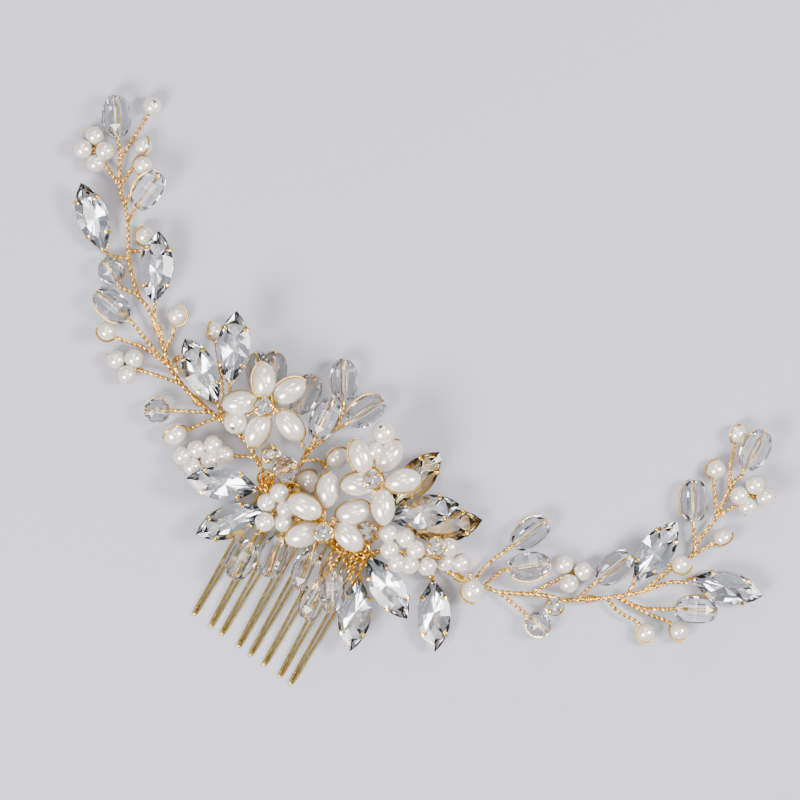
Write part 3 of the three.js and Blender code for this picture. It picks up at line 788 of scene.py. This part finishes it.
# "pin" is the wire round a bead, "core" the wire through it, "hug" how far off the bead the first lies
twigLook = {
    "width": 0.88, "pitch": 2.3, "fineWidth": 0.6, "finePitch": 1.3, "pin": 0.34, "core": 0.5, "hug": 0.16,
}


def addTwig(stem, points):
    stemRuns[stem] += twisted(points, twigLook["width"], twigLook["pitch"], 2, chance.random() * math.tau)


def fineTwig(points, phase):
    return twisted(points, twigLook["fineWidth"], twigLook["finePitch"], 2, phase)


tableTop = cadBox[0][2] / mm


def aboveTable(point, gap=0.3):
    return Vector((point.x, point.y, max(point.z, tableTop + gap)))


def beadWires(middle, way, length, belly, core, roll):
    # the wire runs up through the bead, over its far end and back round the outside
    side = way.cross(Vector((0, 0, 1))).normalized()
    out = side * sine(roll) + side.cross(way) * cosine(roll)
    foot = aboveTable(middle - way * (length / 2 + 0.9))
    back = []
    for i in range(17):
        angle = math.radians(4 + i * 10.4)
        reach = (length / 2 + twigLook["hug"]) * math.cos(angle)
        back.append(middle + way * reach + out * ((belly + twigLook["hug"]) * math.sin(angle)))
    through = [foot, middle, middle + way * (length / 2 + 0.1)]
    return [(through, core / 2), (smoothRoute(back + [foot], 0.35), twigLook["pin"] / 2)]


# every bead and stone on each stem: its kind, its CAD node or own name, the way it points and its twig's
# bends; a single pearl has no node of its own, so its place follows, with its width where that isn't 4
beads = {
    "stem_left_tip": [
        ("oval", "crystal_left_1", 94, [(-40.3, 74.8)]),
        ("pearl", "left_1", 60, [(-39.8, 75.9)], (-33.6, 85.8)),
        ("pearl", "left_2", 70, [(-40, 69.3)], (-35.5, 77.5)),
        ("pearl", "left_3", 70, [(-38.9, 65.4)], (-35.5, 73.5)),
        ("oval", "crystal_left_2", 55, [(-38.6, 61.7)]),
        ("navette", "navette_left_1", 108, [(-38.5, 54.3)]),
        ("pearl", "left_4", 90, [(-38.4, 56)], (-35.2, 59.1)),
        ("navette", "navette_left_2", 86, [(-33.4, 41.6)]),
        ("round", "crystal_left_3", 120, [(-36.8, 46.8)]),
    ],
    "stem_left": [
        ("oval", "crystal_left_4", 139, [(-30, 32), (-34.5, 37.1)]),
        ("pearl", "left_5", 150, [(-30, 32), (-34.8, 35.6)], (-42.9, 39.3)),
        ("pearl", "left_6", 80, [(-30.8, 35)], (-28.6, 42.6)),
        ("chaton", "stone_left", 150, []),
    ],
    "stem_centre": [
        ("oval", "crystal_fringe_1", 243, [(-4, 3), (-9.5, -1)]),
        ("oval", "crystal_fringe_2", 250, [(-2, 1.5)]),
        ("oval", "crystal_fringe_3", 250, [(1, -0.8)]),
        ("navette", "navette_fringe_1", 262, [(6, -4.2), (7.8, -9.5)]),
        ("navette", "navette_fringe_2", -58, [(9, -6)]),
        ("navette", "navette_fringe_3", 271, [(21, -8.4), (23.4, -11.3, 1.5)]),
        ("chaton", "stone_flower_front", 0, []),
        ("round", "crystal_centre_1", 180, [(-21.6, 22.6)]),
        ("pearl", "centre_1", 200, [(-20.4, 21.4)], (-29, 18.2, 5)),
        ("navette", "navette_centre_1", 116, [(-19.5, 21)]),
        ("pearl", "centre_2", 100, [(-18.8, 20.5), (-19.2, 28, 1.5)], (-21, 39.3)),
        ("navette", "navette_centre_2", 84.5, [(-16, 18.2), (-17.5, 24.5, 2)]),
        ("navette", "navette_centre_3", 172, [(-6.5, 5)]),
        ("navette", "navette_centre_4", 200.5, [(-6, 4.5)]),
        ("chaton", "stone_centre_1", 0, []),
        ("round", "crystal_champagne", 20, []),
        ("pearl", "centre_4", 40, [(-4.8, 6)], (-1.6, 8.4, 5)),
        ("oval", "crystal_centre_2", 90, [(3.3, 18.5), (5.2, 21.5, 2.4)]),
        ("oval", "crystal_centre_3", 33, [(3.3, 18.5)]),
        ("oval", "crystal_centre_4", 64, [(-2, 13.8)]),
        ("navette", "navette_right_1", 10, [(16, -7), (18.5, -3.4, 2.2)]),
        ("navette", "navette_right_3", 48, [(8.5, -5.8), (12.8, -1.2, 1.4)]),
        ("chaton", "stone_right_1", 0, []),
        ("navette", "navette_right_2", 12, [(9.2, -6.2), (13.2, -2.4, 3.0)]),
        ("pearl", "centre_3", 40, [(-2.4, 12.8), (1, 12.8)], (4.4, 13.4, 5)),
        ("chaton", "stone_flower_left", 0, []),
        ("chaton", "stone_flower_right", 0, []),
        ("chaton", "stone_centre_2", 0, []),
    ],
    "stem_right": [
        ("pearl", "right_1", 280, [(31.7, -13)], (32.4, -14, 5)),
        ("oval", "crystal_right_1", 36, [(32, -13), (35.5, -8.6)]),
        ("oval", "crystal_right_2", 8, [(34.6, -13.2)]),
        ("round", "crystal_right_3", 320, [(37.8, -14.2)]),
        ("chaton", "stone_right_2", 0, []),
        ("oval", "crystal_right_4", 38, [(53.8, -15.9)]),
    ],
    "stem_right_tip": [
        ("navette", "navette_tip_1", 55, [(64.3, -14.8)]),
        ("pearl", "tip_1", 0, [(74, -9.2)], (75.2, -8.6)),
        ("pearl", "tip_2", 30, [(77.4, -7)], (84, -3.2)),
        ("navette", "navette_tip_2", -13.7, [(76.5, -12.4)]),
        ("oval", "crystal_right_5", -3, [(61.9, -15.3), (67, -17.5)]),
        ("pearl", "tip_3", 320, [(61.9, -15.3), (68, -18.6)], (74.9, -22.4)),
        ("pearl", "tip_4", 310, [(59.8, -15.6), (62.5, -18.4)], (68.1, -22.8)),
        ("pearl", "tip_5", 80, [(85.4, 6.6), (85.6, 12)], (87, 18.3)),
        ("oval", "crystal_right_6", 62, [(86.2, 8.4)]),
        ("pearl", "tip_6", 80, [(82.6, 1.2), (82.4, 5)], (82.6, 10.9)),
        ("oval", "crystal_right_7", 90, [(78.2, -5.4)]),
    ],
}
# crystals with the wire along their side
looped = {
    "crystal_left_2", "crystal_left_4", "crystal_right_2", "crystal_right_6", "crystal_right_7",
    "crystal_centre_3",
}
leaning = {"left_1": 60, "left_3": 20, "tip_5": 25, "centre_1": 15}  # how far a pearl's bore looks up
steep = 50  # a bore that looks up further than this shows open
# stones that lie on one edge of their cup: how far they roll, and how far their far end looks up
rolled = {"navette_left_1": (-19, 10), "navette_tip_2": (8, 0), "navette_left_2": (6, 0)}
warmStones = {"navette_right_1", "navette_right_3", "stone_left"}  # their backs look golden


def placeCrystal(name, stem, turn, twig, kind):
    template, length = (ovalBead, ovalLength) if kind == "oval" else (roundBead, roundLength)
    if name == "crystal_champagne":
        template = peachBead
    middle = boxCentre(name)
    finishPiece(copyOf(template, name + "_bead", place(*middle, turn, 0, chance.uniform(0, 45))), name)
    foot = middle - ahead(turn, length / 2 + 0.7)
    if twig:
        addTwig(stem, twigRun(stem, twig) + [foot - ahead(turn, 0.6), foot])
    roll = chance.choice((-1, 1)) * (85 if name in looped else chance.uniform(105, 122))
    belly = template.dimensions.y / 2 / mm
    stemRuns[stem] += beadWires(middle, ahead(turn, 1), length, belly, twigLook["core"], roll)


def placeSetting(name, stone, cup, matrix):
    # a stone, and the cup that holds it
    piece = finishPiece(copyOf(stone, name + "_stone", matrix), name)
    if name in warmStones:
        piece.data.materials[1] = warmFoil
    rideOn(copyOf(cup, name + "_cup", matrix), name)


# where a navette's twig runs: its last two places behind the middle, and its knot
navetteTwig = {"gap": 0.3, "half": 0.35, "behind": 7.5, "reach": 1.9, "knotBehind": 6.3, "knotUp": 0.75}


def placeNavette(name, stem, turn, twig):
    look = navetteTwig
    middle = boxCentre(name)
    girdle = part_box(name)[0].z / mm - cupCut["bottom"]
    roll, tilt = rolled.get(name, (0, 0))
    lift = abs(sine(roll)) * cupCut["width"] * 0.3
    lift += sine(tilt) * cupCut["length"] * 0.4
    placeSetting(name, navetteStone, navetteCup, place(middle.x, middle.y, girdle + lift, turn, tilt, roll))
    if twig:
        level = girdle + cupCut["bottom"] - look["gap"] - look["half"]
        under = Vector((middle.x, middle.y, level))
        ends = [under - ahead(turn, look["behind"]), under - ahead(turn, look["reach"])]
        addTwig(stem, twigRun(stem, twig) + ends)
        knot = under - ahead(turn, look["knotBehind"]) + Vector((0, 0, look["knotUp"]))
        stemRuns[stem].append(tangle(knot, 1.0, 0.45, 3, 0.3, len(name)))


# how far a round stone's middle and its stalk's end are over the bottom of its cup
chatonLook = {"girdle": 2.1, "stalkEnd": 0.3, "stalkRise": 0.8}


def placeChaton(name, stem):
    middle = boxCentre(name)
    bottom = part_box(name)[0].z / mm
    foot = Vector((middle.x, middle.y, bottom + chatonLook["stalkEnd"]))
    if "flower" not in name:  # a flower's own wires hold the stone in its middle
        below = foot - Vector((0, 0, chatonLook["stalkRise"]))
        addTwig(stem, [nearestOn(stem, foot.x, foot.y), below, foot])
    matrix = place(middle.x, middle.y, bottom + chatonLook["girdle"], chance.uniform(0, 90))
    placeSetting(name, chatonStone, chatonCup, matrix)


def placePearl(name, stem, turn, twig, spot):
    width = spot[2] if len(spot) > 2 else pearlSize
    middle = Vector((spot[0], spot[1], topOf(stem, spot[0], spot[1]) - width * 0.487))
    middle = aboveTable(middle, width / 2)
    template = bigPearl if width == bigPearlSize else smallPearl
    lean = leaning.get(name, 0)
    matrix = place(*middle, turn, lean, chance.uniform(0, 360))
    stemPearls[stem].append(copyOf(template, name, matrix))
    way = ahead(turn, cosine(lean)) + Vector((0, 0, sine(lean)))
    foot = aboveTable(middle - way * (width / 2 + 0.3), 0.5)
    addTwig(stem, twigRun(stem, twig) + [foot - ahead(turn, 0.8), foot])
    roll = chance.choice((-1, 1)) * chance.uniform(25, 110)
    wires = beadWires(middle, way, width, width / 2, twigLook["pin"], roll)
    if lean > steep:  # its wire ends inside the open bore
        wires = [([foot, middle + way * (width * 0.3)], twigLook["pin"] / 2)]
    stemRuns[stem] += wires


for stem, rows in beads.items():
    for kind, name, turn, twig, *spot in rows:
        if kind == "navette":
            placeNavette(name, stem, turn, twig)
        elif kind == "chaton":
            placeChaton(name, stem)
        elif kind == "pearl":
            placePearl(name, stem, turn, twig, spot[0])
        else:
            placeCrystal(name, stem, turn, twig, kind)
    print("beads and stones placed on", stem + ":", len(rows))


# crystals that lie together as one group: each one's place and turn
groups = {
    "crystal_fringe_4": [(3.4, -13.7, 272), (-0.1, -15.6, 242)],
    "crystals_behind_flower": [(-11.5, 30.6, 100), (-8.8, 30.8, 82), (-2.1, 26.4, 62)],
}
for node, members in groups.items():
    pieces = []
    level = boxCentre(node).z
    for x, y, turn in members:
        pieces.append(copyOf(ovalBead, node, place(x, y, level, turn, 0, chance.uniform(0, 45))))
        middle = Vector((x, y, level))
        start = nearestOn("stem_centre", *(middle - ahead(turn, 9)).xy)
        foot = middle - ahead(turn, 5)
        addTwig("stem_centre", [start, foot - ahead(turn, 0.8), foot])
        roll = chance.choice((-1, 1)) * 115
        wires = beadWires(middle, ahead(turn, 1), ovalLength, ovalWidth / 2, twigLook["core"], roll)
        stemRuns["stem_centre"] += wires
    finishPiece(joined(node + "_beads", pieces), node)


# clusters of small pearls on short branches: the middle, the stem, the twig's bends, and each pearl's
# step from the middle, with how far it hangs
clusters = {
    "pearls_left_tip": (-45.5, 76.8, "stem_left_tip", [(-40.6, 69.3)],
                        [(0, 2.9), (-2.4, 0.1), (2.2, -0.3), (0.2, -2.8)]),
    "pearls_left_arm": (-39.1, 32.3, "stem_left", [(-27.6, 28.4), (-31.5, 29.9)],
                        [(-2, 1.2), (1.7, 1.4), (0.3, -1.9)]),
    "pearls_centre_1": (-23.1, 13.8, "stem_centre", [(-12.3, 13.4)],
                        [(-4.3, -0.1), (-1.3, 1.3), (2.1, 2.2), (4.4, 0.2), (-2.2, -2.3), (1.5, -0.9)]),
    "pearls_centre_2": (-7.9, 2.8, "stem_centre", [],
                        [(-1.9, 1.4), (0.6, 3.4), (-2.3, -2.5), (1.4, -2.6), (2, 0.1)]),
    "pearls_centre_3": (21, -6.2, "stem_centre", [],
                        [(-5.9, 4.1), (-2.6, 3.2), (-5.7, 0.8), (-0.4, 0.8), (-1.6, -2.1),
                         (1.9, -2.5, 2), (5.7, -1.8, 5), (9, -2, 6), (6.4, 1.3, 4), (-4.1, -1.9)]),
    "pearls_right_arm": (53, -10.4, "stem_right", [(44.1, -14.8)],
                         [(-1.7, 1.7), (2.2, 0.3), (-0.8, -2.2)]),
    "pearls_right_tip": (89.8, 5.4, "stem_right_tip", [(82.6, 1.2)],
                         [(-2.6, 0.1), (0.6, 2.3), (2.8, -0.1), (-0.8, -2.1)]),
}
# "sink" is from a bead's top to its middle; the wires meet at the hub; "pin" is the wire in a bead
clusterLook = {
    "stagger": 0.6, "sink": 1.95, "hubDrop": 0.6, "scatter": 40, "twigEnd": 1.6, "pin": (-2.2, 2.25),
}
for node, (x, y, stem, twig, steps) in clusters.items():
    look = clusterLook
    rises = [(i % 3) * look["stagger"] - sum(step[2:]) for i, step in enumerate(steps)]
    tops = [topOf(node, x + step[0], y + step[1]) - rise for step, rise in zip(steps, rises)]
    base = min(tops) - look["sink"]
    hub = Vector((x, y, base - look["hubDrop"]))
    pieces = []
    runs = []
    for i, (step, rise) in enumerate(zip(steps, rises)):
        middle = Vector((x + step[0], y + step[1], base + rise))
        turn = math.degrees(math.atan2(step[1], step[0])) + chance.uniform(-look["scatter"], look["scatter"])
        pieces.append(copyOf(smallPearl, node, place(*middle, turn, 0, chance.uniform(0, 360))))
        out = (middle - hub).normalized()
        runs += fineTwig([hub, middle - out * look["twigEnd"]], i)
        pin = [middle + out * look["pin"][0], middle, middle + out * look["pin"][1]]
        runs.append((pin, twigLook["pin"] / 2))
    finishPiece(joined(node + "_beads", pieces), node)
    if twig:
        level = twigRun(stem, twig)
        start = level[0].lerp(hub, 0.06) if len(level) == 1 else level[0].lerp(level[1], 0.1)
        runs += twisted([start] + level[1:] + [hub], twigLook["width"], twigLook["pitch"])
    runs.append(tangle(hub, 1.1, 0.5, 4, 0.32, len(steps)))
    rideOn(wirePiece(node + "_wires", runs, brightGold), node)


# flowers: the middle, each petal's distance, bearing, turn and rise, and the round pearls beside them
flowers = {
    "flower_left": (
        -10.4, 23.8,
        [(5, 171, 185, 0), (5.4, 90, 90, 0), (6.1, 32, 30, 0), (6.5, -36, -50, 0), (4.9, 254, 242, 0)],
        [(6.6, 208, 5)]),
    "flower_right": (
        11.9, 9.1,
        [(5.2, 118, 108, 0), (5.7, 54, 55, 0), (6.1, -3, 8, 0), (6, -70, -86, 0), (3, 200, 186, 0)],
        [(9.7, 77, 5), (5.8, 85, 4)]),
    "flower_front": (
        1.8, -1.7,
        [(8.5, 84, 82, 0), (6.4, 126, 153, 2.5), (4.2, 188, 200, 0), (7.3, 33, 15, 0), (5.2, -11, -45, 0)],
        []),
}
flowerLook = {
    "sink": 2.42, "hubDrop": 0.8, "foot": 3.6, "lean": 55, "knots": 3, "knotWidth": 2.3, "knotWire": 0.36,
}
for node, (x, y, petals, others) in flowers.items():
    look = flowerLook
    centre = Vector((x, y, 0))
    spots = [(centre + ahead(bearing, distance), turn, rise) for distance, bearing, turn, rise in petals]
    base = min(topOf(node, spot.x, spot.y) - rise for spot, turn, rise in spots) - look["sink"]
    hub = Vector((x, y, base - look["hubDrop"]))
    pieces = []
    runs = []
    for spot, turn, rise in spots:
        middle = Vector((spot.x, spot.y, base + rise))
        pieces.append(copyOf(petalBead, node, place(*middle, turn, 0, chance.uniform(0, 360))))
        way = ahead(turn, 1)
        foot = middle - way * look["foot"]
        runs += fineTwig([hub, foot - way * 0.5, foot], chance.random() * 6)
        roll = chance.choice((-1, 1)) * chance.uniform(75, 115)
        runs += beadWires(middle, way, petalLength, petalWidth / 2, twigLook["pin"], roll)
    for distance, bearing, width in others:
        spot = centre + ahead(bearing, distance)
        middle = Vector((spot.x, spot.y, base + (width - bigPearlSize) * 0.1))
        template, lean = (bigPearl, look["lean"]) if width == bigPearlSize else (smallPearl, 0)
        pieces.append(copyOf(template, node, place(*middle, bearing + 40, lean, 30)))
        runs.append((smoothRoute([hub, middle], 0.4), 0.3))
    finishPiece(joined(node + "_petals", pieces), node)
    for i in range(look["knots"]):
        knot = hub + Vector((0, 0, 0.4 * i))
        runs.append(tangle(knot, look["knotWidth"] - 0.3 * i, 0.9, 7, look["knotWire"], 11 + i + len(node)))
    rideOn(wirePiece(node + "_wires", runs, brightGold), node)
print("clusters and flowers placed")


# the stems themselves, with their twigs, pins and pearls
stemLook = {
    "stem_centre": 1.15, "stem_left": 1.1, "stem_left_tip": 0.95, "stem_right": 1.1, "stem_right_tip": 0.95,
    "trunk": 1.8, "pitch": 2.4, "wrap": 0.36,
}
coilLook = {
    "count": 4, "width": 2.6, "wider": 0.5, "pitch": 1.5, "slower": 0.3, "squash": 0.6, "wander": 0.25,
}
trunkKnots = [(-10.1, 9.1, 4.2), (9.6, -5.4, 4.4), (-4.6, 6.4, 4.4), (5.2, -4.6, 4.6)]
# twisted wires that hang in a bunch from the trunk to the stones below it
bunch = [
    [(9.6, -5.6, 4.1), (8.3, -8.4, 4.3), (7.2, -11.2, 4.4), (7.7, -12.6, 4.2)],
    [(8.6, -5.2, 4.6), (7.3, -7.9, 5.0), (6.5, -10.2, 4.9)],
    [(10.4, -6.2, 3.8), (9.4, -8.8, 3.9), (8.8, -11.0, 3.6)],
    [(7.4, -4.4, 4.4), (5.9, -6.4, 5.2), (6.1, -8.2, 5.4), (7.1, -8.9, 5.0)],
]


def trunkCoil(route, k):
    # one of the windings that lash the trunk down, each looser than the one before
    run = [Vector(spot) for spot in route]
    run[0], run[-1] = run[0].lerp(run[1], 0.25), run[-1].lerp(run[-2], 0.3)
    for spot in run:
        spot += Vector((chance.uniform(-1, 1), chance.uniform(-1, 1), chance.uniform(-0.3, 0.5)))
    width = coilLook["width"] + coilLook["wider"] * k
    pitch = coilLook["pitch"] + coilLook["slower"] * k
    return coiled(run, width, stemLook["wrap"], pitch, coilLook["squash"], coilLook["wander"])


for stem, routes in stemRoutes.items():
    for i, route in enumerate(routes):
        isTrunk = stem == "stem_centre" and i == 0
        width = stemLook["trunk"] if isTrunk else stemLook[stem]
        strands = 3 if isTrunk else 2
        stemRuns[stem] += twisted(route, width, stemLook["pitch"] * width, strands, i)
    if stem == "stem_centre":
        for k in range(coilLook["count"]):
            stemRuns[stem] += trunkCoil(routes[0], k)
        for route in bunch:
            addTwig(stem, route)
        for k, spot in enumerate(trunkKnots):
            stemRuns[stem].append(tangle(Vector(spot), 1.8, 0.8, 6, stemLook["wrap"], 30 + k))
    finishPiece(wirePiece(stem + "_wires", stemRuns[stem], brightGold), stem)
    if stemPearls[stem]:
        rideOn(joined(stem + "_pearls", stemPearls[stem]), stem)
print("stems wound")


# the comb: one wire bent to and fro, down a leg, round its tip and up again
combLook = {
    "turn": -35.8, "tines": 8, "pitch": 3.5, "length": 30, "wire": 0.62, "topGap": 1.75, "tipGap": 0.58,
    "lean": 5.8, "drift": [0, 0.7, 0, 0.8, 0.3, 0.3, 0.8, 0], "top": 1.2, "tip": -1.2, "over": 0.6,
}


def combRoute(look):
    lean = math.tan(math.radians(look["lean"]))
    points = []
    for tine in range(look["tines"]):
        middle = (tine - (look["tines"] - 1) / 2) * look["pitch"]

        def along(share, side):
            # a place on a leg, from the spine (0) to the tip (1)
            gap = look["topGap"] + (look["tipGap"] - look["topGap"]) * share
            sideways = middle + side * gap / 2 + look["drift"][tine] * share + look["length"] * share * lean
            return (sideways, -look["length"] * share, look["top"] + (look["tip"] - look["top"]) * share)

        points += [along(share, -1) for share in (0, 0.35, 0.7, 0.97)]
        tip = along(1, 0)
        points.append((tip[0], tip[1] - look["tipGap"] * 0.2, tip[2]))
        points += [along(share, 1) for share in (0.97, 0.7, 0.35, 0)]
        if tine < look["tines"] - 1:
            points.append((middle + look["pitch"] / 2, look["over"], look["top"]))
    return points


combTurn = turned(combLook["turn"], "Z")
combRun = [combTurn @ spot for spot in smoothRoute(combRoute(combLook), 0.5)]
combPiece = wirePiece("comb_wire_bent", [(combRun, combLook["wire"] / 2)], paleGold, 2)
finishPiece(combPiece, "comb_wire")

# the spine's binding: wire wound side by side over the comb's bends
bindLook = {"length": 28.6, "width": 3.4, "height": 2.4, "wire": 0.5, "step": 0.56, "around": 16}


def bindingRuns(look):
    turns = int((look["length"] - look["wire"]) / look["step"])
    run = []
    across = (look["width"] - look["wire"]) / 2
    upward = (look["height"] - look["wire"]) / 2
    for i in range(turns * look["around"]):
        angle = math.tau * i / look["around"]
        c, s = math.cos(angle), math.sin(angle)
        slope = 0.12 * math.sin(i * 0.021) + 0.06 * math.sin(i * 0.33)
        along = -look["length"] / 2 + look["wire"] / 2 + look["step"] * i / look["around"] + slope * s
        run.append(combTurn @ Vector((
            along,
            math.copysign(abs(c) ** 0.45, c) * across,
            look["height"] / 2 + math.copysign(abs(s) ** 0.6, s) * upward)))
    return [(run, look["wire"] / 2)]


finishPiece(wirePiece("spine_binding_wire", bindingRuns(bindLook), brightGold), "spine_binding")
print("comb and binding made")


# the four bends between the stems, where the wire gives: two bodies, and the sleeve's start, middle and end
bendLook = {"width": 0.95, "pitch": 2.2, "sleeve": 1.65, "wrap": 0.34, "wrapPitch": 0.5, "share": 0.42}
bends = {
    "bend_left_arm": ("comb", "left_arm", (-22.6, 23.7, 0.6), (-24.4, 25.15, low), (-26.0, 26.8, low)),
    "bend_left_tip": ("left_arm", "left_tip", (-31.6, 37.6, low), (-32.5, 39.8, low), (-33.6, 42.0, low)),
    "bend_right_arm": ("comb", "right_arm", (27.4, -10.4, 0.6), (29.65, -11.4, low), (31.4, -12.8, low)),
    "bend_right_tip": ("right_arm", "right_tip", (54.4, -15.9, low), (56.6, -15.8, low), (58.8, -15.65, low)),
}
for name, (bodyA, bodyB, start, middle, end) in bends.items():
    route = [start, middle, end]
    near = Vector(middle).lerp(Vector(start), bendLook["share"])
    far = Vector(middle).lerp(Vector(end), bendLook["share"])
    runs = twisted(route, bendLook["width"], bendLook["pitch"], 3)
    runs += coiled([near, middle, far], bendLook["sleeve"], bendLook["wrap"], bendLook["wrapPitch"])
    piece = wirePiece(name, runs, brightGold)
    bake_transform(piece)
print("bends made")

for template in templates:
    bpy.data.objects.remove(template)

# a pale table, soft light from both sides, and the camera straight above
studio = {
    "floor": 1.6, "drop": 0.05, "middle": (0.017, 0.025), "paper": (0.37, 0.368, 0.405),
    "zenith": (0.24, 0.245, 0.27), "horizon": (0.72, 0.72, 0.77), "view": (17.4, 25.2, 900), "lens": 196.4,
}
clearSelection()
level = cadBox[0][2] - studio["drop"] * mm
bpy.ops.mesh.primitive_plane_add(size=studio["floor"], location=(*studio["middle"], level))
floor = bpy.context.object
floor.name = "table_top"
applyAll(floor)
paper, nodes, links, shader = newMaterial("table_paper")
setSockets(shader, {"Base Color": (*studio["paper"], 1), "Roughness": 0.75})
floor.data.materials.append(paper)
floor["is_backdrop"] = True

# a sky that is brighter low down, as a room's white walls are
world = bpy.data.worlds.new("studio_sky")
world.use_nodes = True
nodes, links = world.node_tree.nodes, world.node_tree.links
skyPlace = nodes.new("ShaderNodeTexCoord")
split = nodes.new("ShaderNodeSeparateXYZ")
links.new(skyPlace.outputs["Generated"], split.inputs["Vector"])
fade = addRamp(nodes, links, split.outputs["Z"], [(0.25, studio["horizon"]), (0.8, studio["zenith"])])
links.new(fade.outputs["Color"], nodes["Background"].inputs["Color"])
bpy.context.scene.world = world

# each lamp's place in metres, its size and its power
lamps = {
    "key_left": ((-0.34, -0.30, 0.48), 0.30, 10.5),
    "fill_right": ((0.44, 0.06, 0.46), 0.20, 6.5),
    "back_high": ((0.02, 0.60, 0.55), 0.25, 2.0),
    "overhead": ((0.10, 0.12, 1.5), 0.50, 7.0),
    "spark_left": ((-0.30, 0.35, 0.75), 0.05, 1.2),
    "spark_right": ((0.36, -0.34, 0.8), 0.05, 1.2),
}
for name, (spot, size, power) in lamps.items():
    clearSelection()
    bpy.ops.object.light_add(type="AREA", location=spot)
    lamp = bpy.context.object
    lamp.name = name
    lamp.data.size = size
    lamp.data.energy = power
    aim = Vector((*studio["middle"], 0)) - Vector(spot)
    lamp.rotation_euler = aim.to_track_quat("-Z", "Y").to_euler()

bpy.ops.object.camera_add(location=tuple(Vector(studio["view"]) * mm))
camera = bpy.context.object
camera.data.lens = studio["lens"]
camera.data.clip_end = 20
bpy.context.scene.camera = camera
print("studio set")


def plainBox(corners):
    return [list(corner) for corner in corners]


sizes = {"cad": plainBox(cadBox), "visual": plainBox(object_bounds())}
growth = [round((b - a) / mm, 2) for cad, visual in zip(*sizes.values()) for a, b in zip(cad, visual)]
print("box grows by (mm):", growth)
